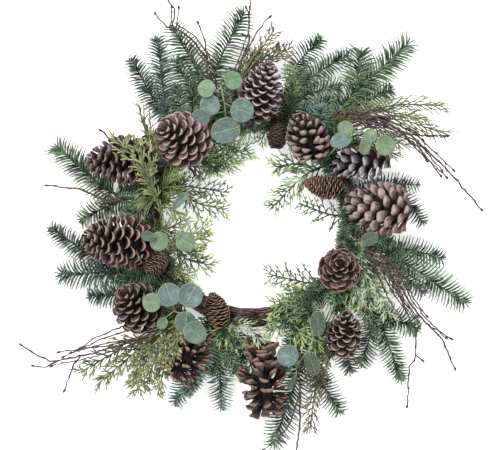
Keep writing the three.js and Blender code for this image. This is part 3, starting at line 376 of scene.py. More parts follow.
# %% From a growth to a piece
def make_piece(name, growth, material, node=None):
    """One Blender object from a growth, riding on the wreath's body."""
    points = np.concatenate(growth.points)
    points[:, 2] = np.maximum(points[:, 2], LOWEST)
    mesh = bpy.data.meshes.new(name)
    faces = [row for block in growth.faces for row in block.tolist()]
    mesh.from_pydata(((points + RING) * MM).tolist(), [], faces)
    for mark in MARKS:
        attribute = mesh.attributes.new(mark, "FLOAT", "POINT")
        attribute.data.foreach_set("value", np.concatenate(growth.values[mark]).astype(np.float32))
    mesh.polygons.foreach_set("use_smooth", np.ones(len(faces), bool))
    mesh.materials.append(material)
    mesh.update()
    piece = bpy.data.objects.new(name, mesh)
    bpy.context.collection.objects.link(piece)
    if node:
        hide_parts(node)
    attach(piece, "root")
    print(f"{name}: {len(faces)} faces")
    return piece


def seed_of(name):
    """A number from a name, so that each piece keeps its own chances in every run."""
    return sum(map(ord, name))


print("the vine ring's seed would be", seed_of("vine_ring"))


# %% Smooth lines
# How many points are worked out between two given ones.
FINE = 24


def smooth_line(points, step):
    """Points about step apart on a rounded curve through the given ones."""
    p = np.array(points, float)
    p = np.vstack([2 * p[0] - p[1], p, 2 * p[-1] - p[-2]])
    # Knots a square root of the distance apart keep the curve from looping where points are close.
    t = np.concatenate([[0], np.cumsum(np.linalg.norm(np.diff(p, axis=0), axis=1) ** 0.5)])

    def mix(i, j, first, second):
        return (t[j] - s) / (t[j] - t[i]) * first + (s - t[i]) / (t[j] - t[i]) * second

    fine = []
    for i in range(1, len(p) - 2):
        s = np.linspace(t[i], t[i + 1], FINE, endpoint=i == len(p) - 3)[:, None]
        before, here, after = (mix(k, k + 1, p[k], p[k + 1]) for k in (i - 1, i, i + 1))
        first = mix(i - 1, i + 1, before, here)
        fine.append(mix(i, i + 1, first, mix(i, i + 2, here, after)))
    return spaced(np.vstack(fine), step)


def spaced(line, step):
    """The same line in even steps."""
    run = np.concatenate([[0], np.cumsum(np.linalg.norm(np.diff(line, axis=0), axis=1))])
    at = np.linspace(0, run[-1], max(3, round(run[-1] / step) + 1))
    return np.stack([np.interp(at, run, line[:, k]) for k in range(3)], axis=1)


def headings(line):
    """At each point of a line: the way along it, a way across it that stays level, and the third way."""
    way = unit(np.gradient(line, axis=0))
    side = np.cross(way, UP)
    weak = np.linalg.norm(side, axis=1) < 0.2
    side[weak] = np.cross(way[weak], (0.0, 1.0, 0.0))
    side = unit(side)
    for i in range(1, len(side)):
        if side[i] @ side[i - 1] < 0:
            side[i] = -side[i]
    return way, side, np.cross(side, way)


test_line = smooth_line([(0, 0, 0), (50, 0, 0), (100, 0, 0)], 4)
print("a line 100 mm long in steps of 4:", len(test_line), "points")

# %% Stems
# How far a stem is drawn out to a point past its first and last rings, as a share of its radius there.
FOOT_POINT = 0.5
TIP_POINT = 0.8


def rings_along(line, side, up, radii, sides, flat=1.0):
    """A ring of points round each point of a line."""
    angles = np.arange(sides) * 2 * math.pi / sides
    ring = side[:, None] * np.cos(angles)[:, None] + up[:, None] * np.sin(angles)[:, None] * flat
    return line[:, None] + ring * np.asarray(radii)[:, None, None]


def tube_faces(rings, sides):
    """The walls of a tube, and a fan over each end. The two end points come after the rings."""
    turn = np.arange(sides)
    beside = (turn + 1) % sides
    first = np.arange(rings - 1)[:, None] * sides
    a, b = (first + turn).ravel(), (first + beside).ravel()
    last = (rings - 1) * sides
    walls = np.stack([a, b, b + sides, a + sides], axis=1)
    foot = np.stack([beside, turn, np.full(sides, rings * sides)], axis=1)
    tip = np.stack([turn + last, beside + last, np.full(sides, rings * sides + 1)], axis=1)
    return walls, foot, tip


def add_stem(growth, line, radii, sides=7, flat=1.0, **values):
    """A round or flattened stem along a line, closed at both ends."""
    way, side, up = headings(line)
    points = rings_along(line, side, up, radii, sides, flat).reshape(-1, 3)
    foot = line[0] - way[0] * radii[0] * FOOT_POINT
    tip = line[-1] + way[-1] * radii[-1] * TIP_POINT
    count = len(line)
    values.setdefault("along", np.append(np.repeat(np.linspace(0, 1, count), sides), [0, 1]))
    growth.add(np.vstack([points, foot, tip]), tube_faces(count, sides), **values)


print("a stem of 10 rings and 7 sides:", sum(map(len, tube_faces(10, 7))), "faces")


# %% Stamps
class Stamp:
    """A small closed shape: a row of cross-sections from its foot at y = 0 to its tip at y = 1.
    A station is y, half width, height above and depth below. A section is a loop of x and z."""

    def __init__(self, stations, section, bulge=None):
        points = []
        for y, width, top, bottom in stations:
            for x, z in section:
                points.append((x * width, y, z * (top if z > 0 else bottom)))
        points.append((0, stations[0][0], 0))
        points.append((0, stations[-1][0] + 0.004, 0))
        self.points = np.array(points, float)
        self.face = np.append(np.tile([z for x, z in section], len(stations)), [0, 0])
        self.edge = np.append(np.tile([abs(x) for x, z in section], len(stations)), [0, 1])
        if bulge:
            self.points[:, 2] += bulge(self.points)
        self.faces = tube_faces(len(stations), len(section))


def press(growth, stamp, feet, ways, ups, lengths, widths, thick, shade=0.0, order=0.0, **bends):
    """Stamps a whole set at once. lifts bend the tips along ups and sweeps bend them sideways.
    bows curve a shape between its two ends, and cups raise its margins."""
    feet, ways = np.asarray(feet, float), unit(np.asarray(ways, float))
    n = len(feet)
    if n == 0:
        return
    sides = unit(np.cross(ways, ups))
    ups = np.cross(sides, ways)

    def column(value):
        return np.broadcast_to(np.asarray(value, float), n)[:, None]

    lengths, widths, thick, shade, order = map(column, (lengths, widths, thick, shade, order))
    lifts, sweeps, bows, cups = (column(bends.get(k, 0.0)) for k in ("lifts", "sweeps", "bows", "cups"))
    x, y, z = stamp.points.T
    across = x * widths + sweeps * lengths * y * y
    above = z * thick + (lifts * y * y + bows * (y * y - y)) * lengths
    above = above + cups * widths * x * x * np.clip((y - 0.2) / 0.6, 0, 1)
    points = feet[:, None] + (y * lengths)[..., None] * ways[:, None]
    points = points + across[..., None] * sides[:, None] + above[..., None] * ups[:, None]
    size = len(stamp.points)
    start = (np.arange(n) * size)[:, None, None]
    faces = [(block[None] + start).reshape(-1, block.shape[1]) for block in stamp.faces]
    growth.add(
        points.reshape(-1, 3),
        faces,
        along=np.tile(y, n),
        edge=np.tile(stamp.edge, n),
        face=np.tile(stamp.face, n),
        shade=np.repeat(shade[:, 0], size),
        order=np.repeat(order[:, 0], size),
    )


def round_section(sides, squareness=1.0):
    """A loop for a stamp's cross-section, round at 1 and squarer below it."""
    points = []
    for k in range(sides):
        a = 2 * math.pi * k / sides
        x, z = math.cos(a), math.sin(a)
        points.append((math.copysign(abs(x) ** squareness, x), math.copysign(abs(z) ** squareness, z)))
    return points


print("a round section of 8:", len(round_section(8)), "points")

# %% [markdown]
# ## Colours
# Nothing that grows is one even colour. A painted picture would have to be unwrapped onto every needle, so
# each finish starts from a few matched colours, and nodes break them up by a point's place and marks.
# Three effects are shared, so each is a node group with named inputs. Mottle drifts a colour between three
# tones. Fibre makes the fine cracks of bark and wood, as a mask and a height. Streak draws the long grain
# of a small shape, such as a cone's scale, along the shape itself.


# %% Colours as a screen shows them
def rgb(red, green, blue):
    """A colour as a screen shows it, 0 to 255, in the linear values that a shader takes."""
    linear = []
    for value in (red, green, blue):
        curved = ((value / 255 + 0.055) / 1.055) ** 2.4
        linear.append(curved if value > 10 else value / 255 / 12.92)
    return tuple(linear)


print("half grey on a screen is", round(rgb(128, 128, 128)[0], 3), "in a shader")


# %% Node helpers
def feed(tree, value, sock):
    """Sets a socket to a number or a colour, or links another node's output to it."""
    if isinstance(value, (int, float)):
        sock.default_value = value
    elif isinstance(value, tuple):
        sock.default_value = (*value, 1.0)
    else:
        tree.links.new(value, sock)


def math_node(tree, operation, *values):
    node = tree.nodes.new("ShaderNodeMath")
    node.operation = operation
    for value, sock in zip(values, node.inputs):
        feed(tree, value, sock)
    return node.outputs[0]


def times(tree, first, second):
    return math_node(tree, "MULTIPLY", first, second)


def leaning(tree, value, middle, strength):
    """A value that is 0 at its middle and leans up or down from there."""
    return times(tree, math_node(tree, "SUBTRACT", value, middle), strength)


def blend_node(tree, factor, first, second):
    """The first colour where the factor is 0, and the second where it is 1."""
    node = tree.nodes.new("ShaderNodeMix")
    node.data_type = "RGBA"
    for name, value in (("Factor", factor), ("A", first), ("B", second)):
        feed(tree, value, next(sock for sock in node.inputs if sock.name == name and sock.enabled))
    return next(sock for sock in node.outputs if sock.enabled)


def ramp_node(tree, value, zero, one):
    """0 from zero back, 1 from one on, and smooth between. zero may be the greater."""
    node = tree.nodes.new("ShaderNodeMapRange")
    node.interpolation_type = "SMOOTHSTEP"
    node.inputs["From Min"].default_value = zero
    node.inputs["From Max"].default_value = one
    tree.links.new(value, node.inputs["Value"])
    return node.outputs["Result"]


def mark_node(tree, name):
    node = tree.nodes.new("ShaderNodeAttribute")
    node.attribute_name = name
    return node.outputs["Fac"]


print("marks that a material can read:", len(MARKS))


# %% Texture helpers
def place_node(tree, **parts):
    """A place in a texture, put together from its X, Y and Z."""
    node = tree.nodes.new("ShaderNodeCombineXYZ")
    for axis, value in parts.items():
        feed(tree, value, node.inputs[axis])
    return node.outputs[0]


def object_place(tree):
    return tree.nodes.new("ShaderNodeTexCoord").outputs["Object"]


def noise_node(tree, place, scale, detail, roughness=0.5):
    node = tree.nodes.new("ShaderNodeTexNoise")
    for name, value in (("Vector", place), ("Scale", scale), ("Detail", detail), ("Roughness", roughness)):
        feed(tree, value, node.inputs[name])
    return node.outputs["Fac"]


def cell_edges(tree, place, scale):
    """How far a point is from the lines between the cells of a net."""
    node = tree.nodes.new("ShaderNodeTexVoronoi")
    node.feature = "DISTANCE_TO_EDGE"
    feed(tree, place, node.inputs["Vector"])
    feed(tree, scale, node.inputs["Scale"])
    return node.outputs["Distance"]


def start_group(name, inputs, outputs):
    """An empty node group. Each of its sockets has a name and a number to start from, or None if it
    carries a colour."""
    group = bpy.data.node_groups.new(name, "ShaderNodeTree")
    for way, sockets in (("INPUT", inputs), ("OUTPUT", outputs)):
        for label, number in sockets.items():
            kind = "NodeSocketColor" if number is None else "NodeSocketFloat"
            made = group.interface.new_socket(name=label, in_out=way, socket_type=kind)
            if number is not None:
                made.default_value = number
    given, out = group.nodes.new("NodeGroupInput"), group.nodes.new("NodeGroupOutput")
    print(f"node group {name} takes:", ", ".join(inputs))
    return group, given.outputs, out.inputs


# %% The mottle group
def build_mottle():
    """A colour that drifts to a darker and a lighter one, with fine specks of the darker."""
    group, given, out = start_group(
        "mottle",
        {"Colour": None, "Darker": None, "Lighter": None, "Scale": 60.0, "Shift": 0.0},
        {"Colour": None, "Height": 0.0},
    )
    place = object_place(group)
    broad = noise_node(group, place, given["Scale"], 3.0)
    fine = noise_node(group, place, times(group, given["Scale"], 7.0), 2.0)
    drift = math_node(group, "ADD", broad, given["Shift"])
    darkened = blend_node(group, ramp_node(group, drift, 0.52, 0.3), given["Colour"], given["Darker"])
    drifted = blend_node(group, ramp_node(group, drift, 0.5, 0.74), darkened, given["Lighter"])
    specks = times(group, ramp_node(group, fine, 0.35, 0.7), 0.3)
    group.links.new(blend_node(group, specks, drifted, given["Darker"]), out["Colour"])
    group.links.new(fine, out["Height"])
    return group


MOTTLE = build_mottle()
print("mottle group:", len(MOTTLE.nodes), "nodes")


# %% The fibre group
def build_fibre():
    """Fine cracks, and a rough surface between them."""
    group, given, out = start_group("fibre", {"Fineness": 700.0}, {"Mask": 0.0, "Height": 0.0})
    place = object_place(group)
    uncracked = ramp_node(group, cell_edges(group, place, given["Fineness"]), 0.0, 0.16)
    rough = noise_node(group, place, given["Fineness"], 4.0, 0.7)
    group.links.new(math_node(group, "SUBTRACT", 1.0, uncracked), out["Mask"])
    group.links.new(times(group, uncracked, rough), out["Height"])
    return group


FIBRE = build_fibre()
print("fibre group:", len(FIBRE.nodes), "nodes")


# %% The streak group
def build_streak():
    """Grain that runs along a small shape, from where a point lies across it and along it."""
    inputs = {"Across": 0.0, "Along": 0.0, "Seed": 0.0, "Fineness": 7.0}
    group, given, out = start_group("streak", inputs, {"Mask": 0.0})
    across = times(group, given["Across"], given["Fineness"])
    apart = times(group, given["Seed"], 90.0)
    place = place_node(group, X=across, Y=given["Along"], Z=apart)
    grain = noise_node(group, place, 1.6, 3.0, 0.65)
    group.links.new(ramp_node(group, grain, 0.4, 0.62), out["Mask"])
    return group


STREAK = build_streak()
print("streak group:", len(STREAK.nodes), "nodes")


# %% Material helpers
def start_material(name, roughness, specular):
    material = bpy.data.materials.new(name)
    material.use_nodes = True
    shader = material.node_tree.nodes["Principled BSDF"]
    shader.inputs["Roughness"].default_value = roughness
    shader.inputs["Specular IOR Level"].default_value = specular
    return material, material.node_tree


def place_group(tree, group, **inputs):
    """A shared effect in a material, with the material's own values."""
    node = tree.nodes.new("ShaderNodeGroup")
    node.node_tree = group
    for name, value in inputs.items():
        feed(tree, value, node.inputs[name])
    return node.outputs


def mottled(tree, colour, darker, lighter, scale, shift=0.0):
    tones = {"Colour": colour, "Darker": darker, "Lighter": lighter}
    return place_group(tree, MOTTLE, **tones, Scale=scale, Shift=shift)


def coat(material, colour, height, strength, depth):
    """Gives a material its colour, and a surface that rises by up to depth, in metres."""
    tree = material.node_tree
    shader = tree.nodes["Principled BSDF"]
    tree.links.new(colour, shader.inputs["Base Color"])
    bump = tree.nodes.new("ShaderNodeBump")
    bump.inputs["Strength"].default_value = strength
    bump.inputs["Distance"].default_value = depth
    tree.links.new(height, bump.inputs["Height"])
    tree.links.new(bump.outputs["Normal"], shader.inputs["Normal"])
    print("finish:", material.name)
    return material


def bark_material(name, tones, mottle_scale, fineness, roughness, specular):
    """The thin bark of a shoot or a twig. tones are its colour, a darker and a lighter one."""
    material, tree = start_material(name, roughness, specular)
    tone = mottled(tree, *(rgb(*tone) for tone in tones), mottle_scale)
    grain = place_group(tree, FIBRE, Fineness=fineness)
    return coat(material, tone["Colour"], grain["Height"], 0.5, 0.0005)


print("finishes share", len(bpy.data.node_groups), "effects")


# %% [markdown]
# ## The vine ring
# The ring is grapevine, wound wet round a form and left to dry: dozens of whippy brown stems lying side by
# side, each with stringy bark. One thick ring with a bump would be simple, but it would read as rope. So
# each vine is a tube of its own that wanders inside the bundle as it goes round, and the lowest are pressed
# flat where the wreath lies.


# %% Vine material
def vine_material():
    material, tree = start_material("grapevine_bark", 0.85, 0.2)
    drift = leaning(tree, mark_node(tree, "shade"), 0.5, 0.5)
    tone = mottled(tree, rgb(108, 87, 78), rgb(56, 42, 37), rgb(158, 138, 126), 120.0, drift)
    grain = place_group(tree, FIBRE, Fineness=480.0)
    cracked = blend_node(tree, grain["Mask"], tone["Colour"], rgb(44, 32, 28))
    return coat(material, cracked, grain["Height"], 0.9, 0.0012)


VINE = vine_material()
print("vine material:", VINE.name)

# %% Vines
# The ring's radius and height, to the middle of the bundle, and the bundle's half width.
RING_RADIUS = 140
RING_HEIGHT = 11.6
BUNDLE = 14.2
VINES = 38
VINE_STEPS = 240
# How far out in the bundle each vine runs, as a share of its half width. The first vine is the core.
LANES = (0.42, 0.82, 0.9, 0.86)


def add_loop(growth, line, radii, sides, shade):
    """A tube whose end meets its start."""
    way = unit(np.roll(line, -1, 0) - np.roll(line, 1, 0))
    side = unit(np.cross(way, UP))
    points = rings_along(line, side, np.cross(side, way), radii, sides)
    count = len(line)
    i, k = np.meshgrid(np.arange(count), np.arange(sides), indexing="ij")
    j, m = (i + 1) % count, (k + 1) % sides
    quads = np.stack([i * sides + k, i * sides + m, j * sides + m, j * sides + k], axis=-1)
    growth.add(points.reshape(-1, 3), (quads.reshape(-1, 4),), shade=shade)


def grow_vine(growth, index):
    """a goes round the ring, and b round the bundle."""
    rand = random.Random(500 + index)
    lane = LANES[index % len(LANES)] if index else 0.0
    thickness = rand.uniform(1.1, 2.2)
    turns = rand.choice([2, 3, 3, 4])
    a = np.linspace(0, 2 * math.pi, VINE_STEPS, endpoint=False)
    wander = 0.5 * np.sin(a * rand.randint(4, 7) + rand.uniform(0, 6))
    b = 2 * math.pi * (index / VINES) * 2.6 + turns * a + 0.35 * wander
    spread = (BUNDLE - thickness) * lane + 0.7 * np.sin(a * rand.randint(5, 9) + index)
    out = RING_RADIUS + spread * np.cos(b)
    height = np.maximum(RING_HEIGHT + spread * np.sin(b), thickness * 0.85)
    line = np.stack([out * np.cos(a), out * np.sin(a), height], axis=1)
    knots = 1 + 0.2 * np.sin(a * rand.randint(17, 25)) ** 8
    rough = np.array([rand.uniform(0.84, 1.1) for _ in a])
    add_loop(growth, line, thickness * knots * rough, 8, shade=rand.random())


vines = Growth()
for number in range(VINES):
    grow_vine(vines, number)
make_piece("vine_ring_strands", vines, VINE, "vine_ring")

# %% Loose bark
# Dry bark lifts in strips. They are grown on the lower arc alone, where no foliage hides the ring.
PEELS = 150
BARE_ARC = (228, 300)
UPPER_SIDE = (15, 165)
PEEL = Stamp(
    [(0.0, 0.5, 0.6, 0.6), (0.2, 1.0, 1, 1), (0.6, 0.8, 1, 1), (0.9, 0.5, 0.8, 0.8), (1.0, 0.15, 0.3, 0.3)],
    [(1, 0), (0.5, 1), (-0.5, 1), (-1, 0), (0, -0.8)],
)
peels = Growth()
rand = np.random.default_rng(41)
a = np.radians(rand.uniform(*BARE_ARC, PEELS))
b = np.radians(rand.uniform(*UPPER_SIDE, PEELS))
radial = np.stack([np.cos(a), np.sin(a), np.zeros(PEELS)], axis=1)
around = np.stack([-np.sin(a), np.cos(a), np.zeros(PEELS)], axis=1) * rand.choice([-1, 1], (PEELS, 1))
out = radial * np.cos(b)[:, None] + UP * np.sin(b)[:, None]
feet = radial * RING_RADIUS + UP * RING_HEIGHT + out * rand.uniform(11.6, 13.4, (PEELS, 1))
ways = around + out * rand.uniform(-0.02, 0.10, (PEELS, 1))
press(
    peels, PEEL, feet, ways, out, rand.uniform(9, 26, PEELS), rand.uniform(0.6, 1.2, PEELS), 0.28,
    rand.uniform(0, 1, PEELS), lifts=rand.uniform(-0.05, 0.12, PEELS), sweeps=rand.normal(0, 0.08, PEELS),
)
make_piece("vine_ring_peels", peels, VINE)

# %% [markdown]
# ## Pine cones
# A cone's scales climb it in the same spiral as a sunflower's seeds, 137.5 degrees apart. Each is a woody
# tongue: thin at the stalk, broad and thick at its rounded end, with a raised boss outside. An egg with a
# bumpy surface would be quicker, but the scales' order and overlap are what the eye reads. So one scale is
# modelled well, and the spiral sets out its copies, 50 to 132 of them on a cone.


# %% Cone scale shapes
def boss(points):
    """The raised point in the middle of a scale's outer end, and the low ridge across it."""
    x, y, z = points.T
    point = 0.30 * np.exp(-((x / 0.2) ** 2) - ((y - 0.88) / 0.05) ** 2)
    ridge = 0.25 * np.exp(-(((y - 0.87) / 0.05) ** 2)) * np.clip(1 - np.abs(x), 0, 1)
    return -np.where(z < 0, point + ridge, 0.0)


# Foot to tip: share of the length, half width, height of the inner face, height of the outer face.
WOODY_SCALE = Stamp(
    [
        (0.00, 0.46, 0.30, 0.34),
        (0.16, 0.56, 0.28, 0.34),
        (0.34, 0.70, 0.30, 0.38),
        (0.52, 0.84, 0.34, 0.48),
        (0.66, 0.94, 0.40, 0.72),
        (0.76, 0.99, 0.48, 1.02),
        (0.84, 1.00, 0.56, 1.20),
        (0.90, 0.96, 0.60, 1.16),
        (0.95, 0.88, 0.56, 0.94),
        (0.985, 0.70, 0.40, 0.56),
        (1.00, 0.42, 0.20, 0.26),
    ],
    round_section(14, 0.9),
    boss,
)
# A scale of a cone that is wide open: a narrow stalk that widens all the way to a broad flat end.
WEDGE_SCALE = Stamp(
    [
        (0.00, 0.30, 0.50, 0.50),
        (0.20, 0.33, 0.44, 0.48),
        (0.45, 0.50, 0.42, 0.50),
        (0.66, 0.74, 0.46, 0.64),
        (0.82, 0.94, 0.56, 0.96),
        (0.91, 1.00, 0.66, 1.14),
        (0.96, 0.96, 0.62, 0.94),
        (1.00, 0.76, 0.32, 0.42),
    ],
    round_section(14, 0.9),
    boss,
)
PAPERY_SCALE = Stamp(
    [
        (0.00, 0.40, 0.6, 0.6),
        (0.35, 0.80, 0.6, 0.7),
        (0.65, 1.00, 0.6, 0.9),
        (0.85, 0.92, 0.7, 1.0),
        (0.95, 0.66, 0.6, 0.8),
        (1.00, 0.30, 0.4, 0.4),
    ],
    round_section(10),
)
print("faces of one scale:", [sum(map(len, kind.faces)) for kind in (WOODY_SCALE, WEDGE_SCALE, PAPERY_SCALE)])

# %% How the scales stand
GOLDEN_TURN = math.radians(137.508)

# How far the scales lean out from the cone's line at its base, middle and tip, in degrees, how far down
# the core they are rooted, as a share of the length, how cupped they are, and half their thickness as a
# share of the cone's width.
STANDS = {
    "rose": (100, 66, 16, 0.03, 0.42, 0.030),
    "open": (112, 80, 22, 0.0, 0.52, 0.030),
    "shut": (84, 46, 12, 0.13, 0.14, 0.060),
    "papery": (98, 68, 26, 0.02, 0.30, 0.024),
}

# Cones so wide open that each scale goes its own way: the lean at base, middle and tip, and the length of
# a scale there as a share of the cone's width. SCATTER is how far a scale strays from that lean, in degrees.
LOOSE = {
    "wedges": ((146, 62, 15), (0.34, 0.45, 0.48)),
    "fingers": ((146, 70, 10), (0.50, 0.47, 0.42)),
}
LOOSE_CUP = 0.20
LOOSE_THICK = 0.040
SCATTER = 18

# How far the scales of a cone are tilted out of order, where that is more than usual.
USUAL_TILT = 0.09
UNTIDY = {
    "cone_top_right": 0.28,
    "cone_right_high": 0.18,
    "cone_right_low": 0.30,
    "cone_left_low": 0.16,
    "cone_bottom": 0.30,
    "cone_bottom_left": 0.28,
    "cone_left_high": 0.17,
    "cone_left": 0.13,
    "cone_right": 0.12,
    "cone_upper_left": 0.13,
    "cone_inner_right": 0.16,
}


def cone_profile(t):
    """Half width of a cone at a share of its length, as a share of its greatest."""
    return np.sin(math.pi * np.minimum(1, 0.13 + 0.83 * t) ** 0.82) ** 0.75


print("widest at", round(float(np.linspace(0, 1, 101)[cone_profile(np.linspace(0, 1, 101)).argmax()]), 2))

# %% Cone material
# Near its stalk a scale lies in the dark between its neighbours, and this colour is that shade painted on it.
DEEP_SHADE = (0.006, 0.004, 0.004)


def cone_material(name, tones, mottle_scale):
    """tones are three for a scale's inner face, three for its outer end, its rim, which is paler worn wood
    with a painted highlight, and what the scales weather to nearest the cone's base. The second of three is
    the darkest, and the third the lightest."""
    tones = [rgb(*tone) for tone in tones]
    inner, outer, (rim, butt) = tones[:3], tones[3:6], tones[6:]
    material, tree = start_material(name, 0.6, 0.3)
    shade, along, edge, side = (mark_node(tree, mark) for mark in ("shade", "along", "edge", "face"))
    drift = leaning(tree, shade, 0.42, 0.9)
    wood = mottled(tree, *inner, mottle_scale, drift)["Colour"]
    pad = mottled(tree, *outer, mottle_scale * 1.4, drift)["Colour"]
    on_pad = times(tree, ramp_node(tree, side, 0.1, -0.3), ramp_node(tree, along, 0.5, 0.78))
    fresh = blend_node(tree, on_pad, wood, pad)
    weathered = times(tree, ramp_node(tree, mark_node(tree, "order"), 0.6, 0.05), 0.75)
    worn = blend_node(tree, weathered, fresh, butt)
    streaks = place_group(tree, STREAK, Across=edge, Along=along, Seed=shade, Fineness=6.0)["Mask"]
    body = blend_node(tree, times(tree, streaks, 0.62), worn, inner[1])
    # A scale's end and sides take the rim tone: paler worn wood, with a painted highlight where the edge
    # catches the light.
    lip = ramp_node(tree, along, 0.93, 0.99)
    flank = times(tree, ramp_node(tree, edge, 0.86, 1.0), ramp_node(tree, along, 0.62, 0.85))
    rim_wear_and_highlight = times(tree, math_node(tree, "MAXIMUM", lip, flank), 0.8)
    worn_and_highlit = blend_node(tree, rim_wear_and_highlight, body, rim)
    # Towards its stalk each scale turns nearly black: painted shade for the dark between its neighbours.
    deep = times(tree, ramp_node(tree, along, 0.76, 0.22), 0.93)
    colour = blend_node(tree, deep, worn_and_highlit, DEEP_SHADE)
    cracks = place_group(tree, FIBRE, Fineness=900.0)
    return coat(material, colour, cracks["Height"], 0.9, 0.0010)


print("the dark between the scales:", DEEP_SHADE)

# %% Twelve woods
# No two cones have weathered alike.
CONE_TONES = {
    "mauve": (
        (95, 76, 73), (43, 31, 29), (131, 108, 105),
        (156, 131, 130), (104, 84, 82), (192, 168, 167),
        (206, 181, 176), (145, 114, 95),
    ),
    "lilac": (
        (104, 85, 86), (44, 31, 32), (146, 124, 126),
        (181, 157, 159), (123, 101, 103), (223, 200, 203),
        (235, 213, 213), (160, 132, 123),
    ),
    "dusk": (
        (92, 74, 71), (43, 30, 29), (125, 104, 100),
        (139, 115, 111), (92, 72, 68), (175, 150, 144),
        (188, 165, 156), (134, 108, 94),
    ),
    "plum": (
        (73, 57, 57), (33, 23, 24), (103, 86, 86),
        (114, 95, 94), (73, 56, 56), (150, 130, 128),
        (167, 147, 139), (101, 81, 75),
    ),
    "slate": (
        (74, 65, 68), (34, 27, 30), (110, 100, 106),
        (150, 139, 148), (101, 90, 97), (190, 179, 190),
        (208, 197, 204), (125, 105, 94),
    ),
    "tan": (
        (71, 56, 53), (31, 21, 20), (102, 83, 80),
        (118, 97, 93), (75, 59, 57), (153, 132, 128),
        (189, 165, 154), (109, 87, 78),
    ),
    "umber": (
        (87, 71, 65), (37, 26, 25), (123, 103, 96),
        (132, 109, 100), (85, 66, 60), (170, 146, 136),
        (188, 165, 151), (105, 83, 72),
    ),
    "rose": (
        (145, 119, 115), (75, 56, 54), (180, 154, 149),
        (197, 167, 160), (139, 113, 108), (229, 201, 194),
        (215, 188, 178), (154, 122, 111),
    ),
    "rust": (
        (110, 81, 73), (45, 29, 25), (146, 117, 107),
        (142, 109, 100), (87, 61, 55), (176, 144, 135),
        (195, 163, 152), (123, 89, 76),
    ),
    "red": (
        (92, 68, 60), (35, 23, 20), (126, 100, 92),
        (107, 82, 73), (59, 41, 37), (137, 111, 101),
        (164, 138, 125), (100, 77, 66),
    ),
    "bark": (
        (80, 65, 59), (32, 22, 20), (113, 94, 85),
        (111, 91, 83), (63, 48, 44), (151, 129, 117),
        (177, 156, 138), (118, 92, 78),
    ),
    "clay": (
        (103, 87, 79), (43, 32, 30), (144, 124, 114),
        (155, 133, 122), (100, 81, 74), (198, 175, 161),
        (213, 191, 175), (121, 97, 85),
    ),
}
CONE_WOODS = {wood: cone_material("cone_" + wood, tones, 210.0) for wood, tones in CONE_TONES.items()}
print(len(CONE_WOODS), "woods")


# %% Lay a cone along its axis
def cone_turn(turn, rise):
    """The rotation that takes a cone from upright to its lie."""
    a, e = math.radians(turn), math.radians(rise)
    axis = Vector((math.cos(a) * math.cos(e), math.sin(a) * math.cos(e), math.sin(e)))
    return np.array(Vector((0, 0, 1)).rotation_difference(axis).to_matrix())


def lay(growth, turn, rise, node):
    """Turns a cone that grew upright at the origin, and centres it on its place in the frame."""
    rotation = cone_turn(turn, rise)
    low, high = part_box(node)
    middle = np.array((low + high) / 2) / MM - RING + NUDGE.get(node, (0, 0, 0))
    points = np.concatenate(growth.points) @ rotation.T
    growth.points = [points - (points.min(0) + points.max(0)) / 2 + middle]
    return (points.max(0) - points.min(0)) / (np.array(high - low) / MM)


print("a cone that lies along x points", cone_turn(0, 0)[:, 2].round(2))


# %% Where the scales of a cone go
def ordered_scales(length, width, stand, t, radial, rand):
    """Feet, ends and bows of scales that keep their place in the spiral."""
    base, middle, tip, drop = STANDS[stand][:4]
    count = len(t)
    reach = width / 2 * cone_profile(t) * rand.uniform(0.95, 1.03, count)
    core = width * 0.10 * (1 - 0.75 * t**2)
    end_z = length * (-0.45 + 0.95 * t**0.93) + rand.normal(0, 0.01 * width, count)
    foot_z = np.maximum(length * (-0.43 + 0.78 * t - drop), -0.46 * length)
    feet = radial * core[:, None] + UP * foot_z[:, None]
    ends = radial * reach[:, None] + UP * end_z[:, None]
    lean = np.arctan2(reach - core, end_z - foot_z)
    end_lean = np.radians(np.interp(t, (0, 0.5, 1), (base, middle, tip)) + rand.normal(0, 4, count))
    return feet, ends, lean, np.clip(np.tan(lean - end_lean), -0.4, 0.5)


def loose_scales(length, width, stand, t, radial, rand):
    """The same for a cone that has opened so far that its scales point all ways."""
    leans, sizes = LOOSE[stand]
    count = len(t)
    lean = np.radians(np.interp(t, (0, 0.5, 1), leans) + rand.normal(0, SCATTER, count))
    size = width * np.interp(t, (0, 0.5, 1), sizes) * rand.uniform(0.74, 1.06, count)
    core = width * 0.09 * (1 - 0.7 * t**2)
    feet = radial * core[:, None] + UP * (length * (-0.38 + 0.62 * t))[:, None]
    ends = feet + radial * (size * np.sin(lean))[:, None] + UP * (size * np.cos(lean))[:, None]
    ends[:, 2] = np.clip(ends[:, 2], -0.5 * length, 0.5 * length)
    return feet, ends, lean, rand.normal(0.10, 0.10, count)


print("scales stand in order or loose, as a cone's kind says:", ", ".join([*STANDS, *LOOSE]))

# %% Grow a cone
# Half the width of the core on which the scales stand, from its foot to its tip, as shares of the usual.
CORE_OUTLINE = (0.4, 0.85, 1.05, 1, 0.95, 0.85, 0.68, 0.42, 0.15)


def add_core(growth, length, foot, tip, width, outline, sides, along):
    """The core. foot and tip are its ends as shares of the cone's length."""
    spine = UP * (np.linspace(foot, tip, len(outline)) * length)[:, None]
    add_stem(growth, spine, np.array(outline) * width, sides, shade=0.2, along=along)


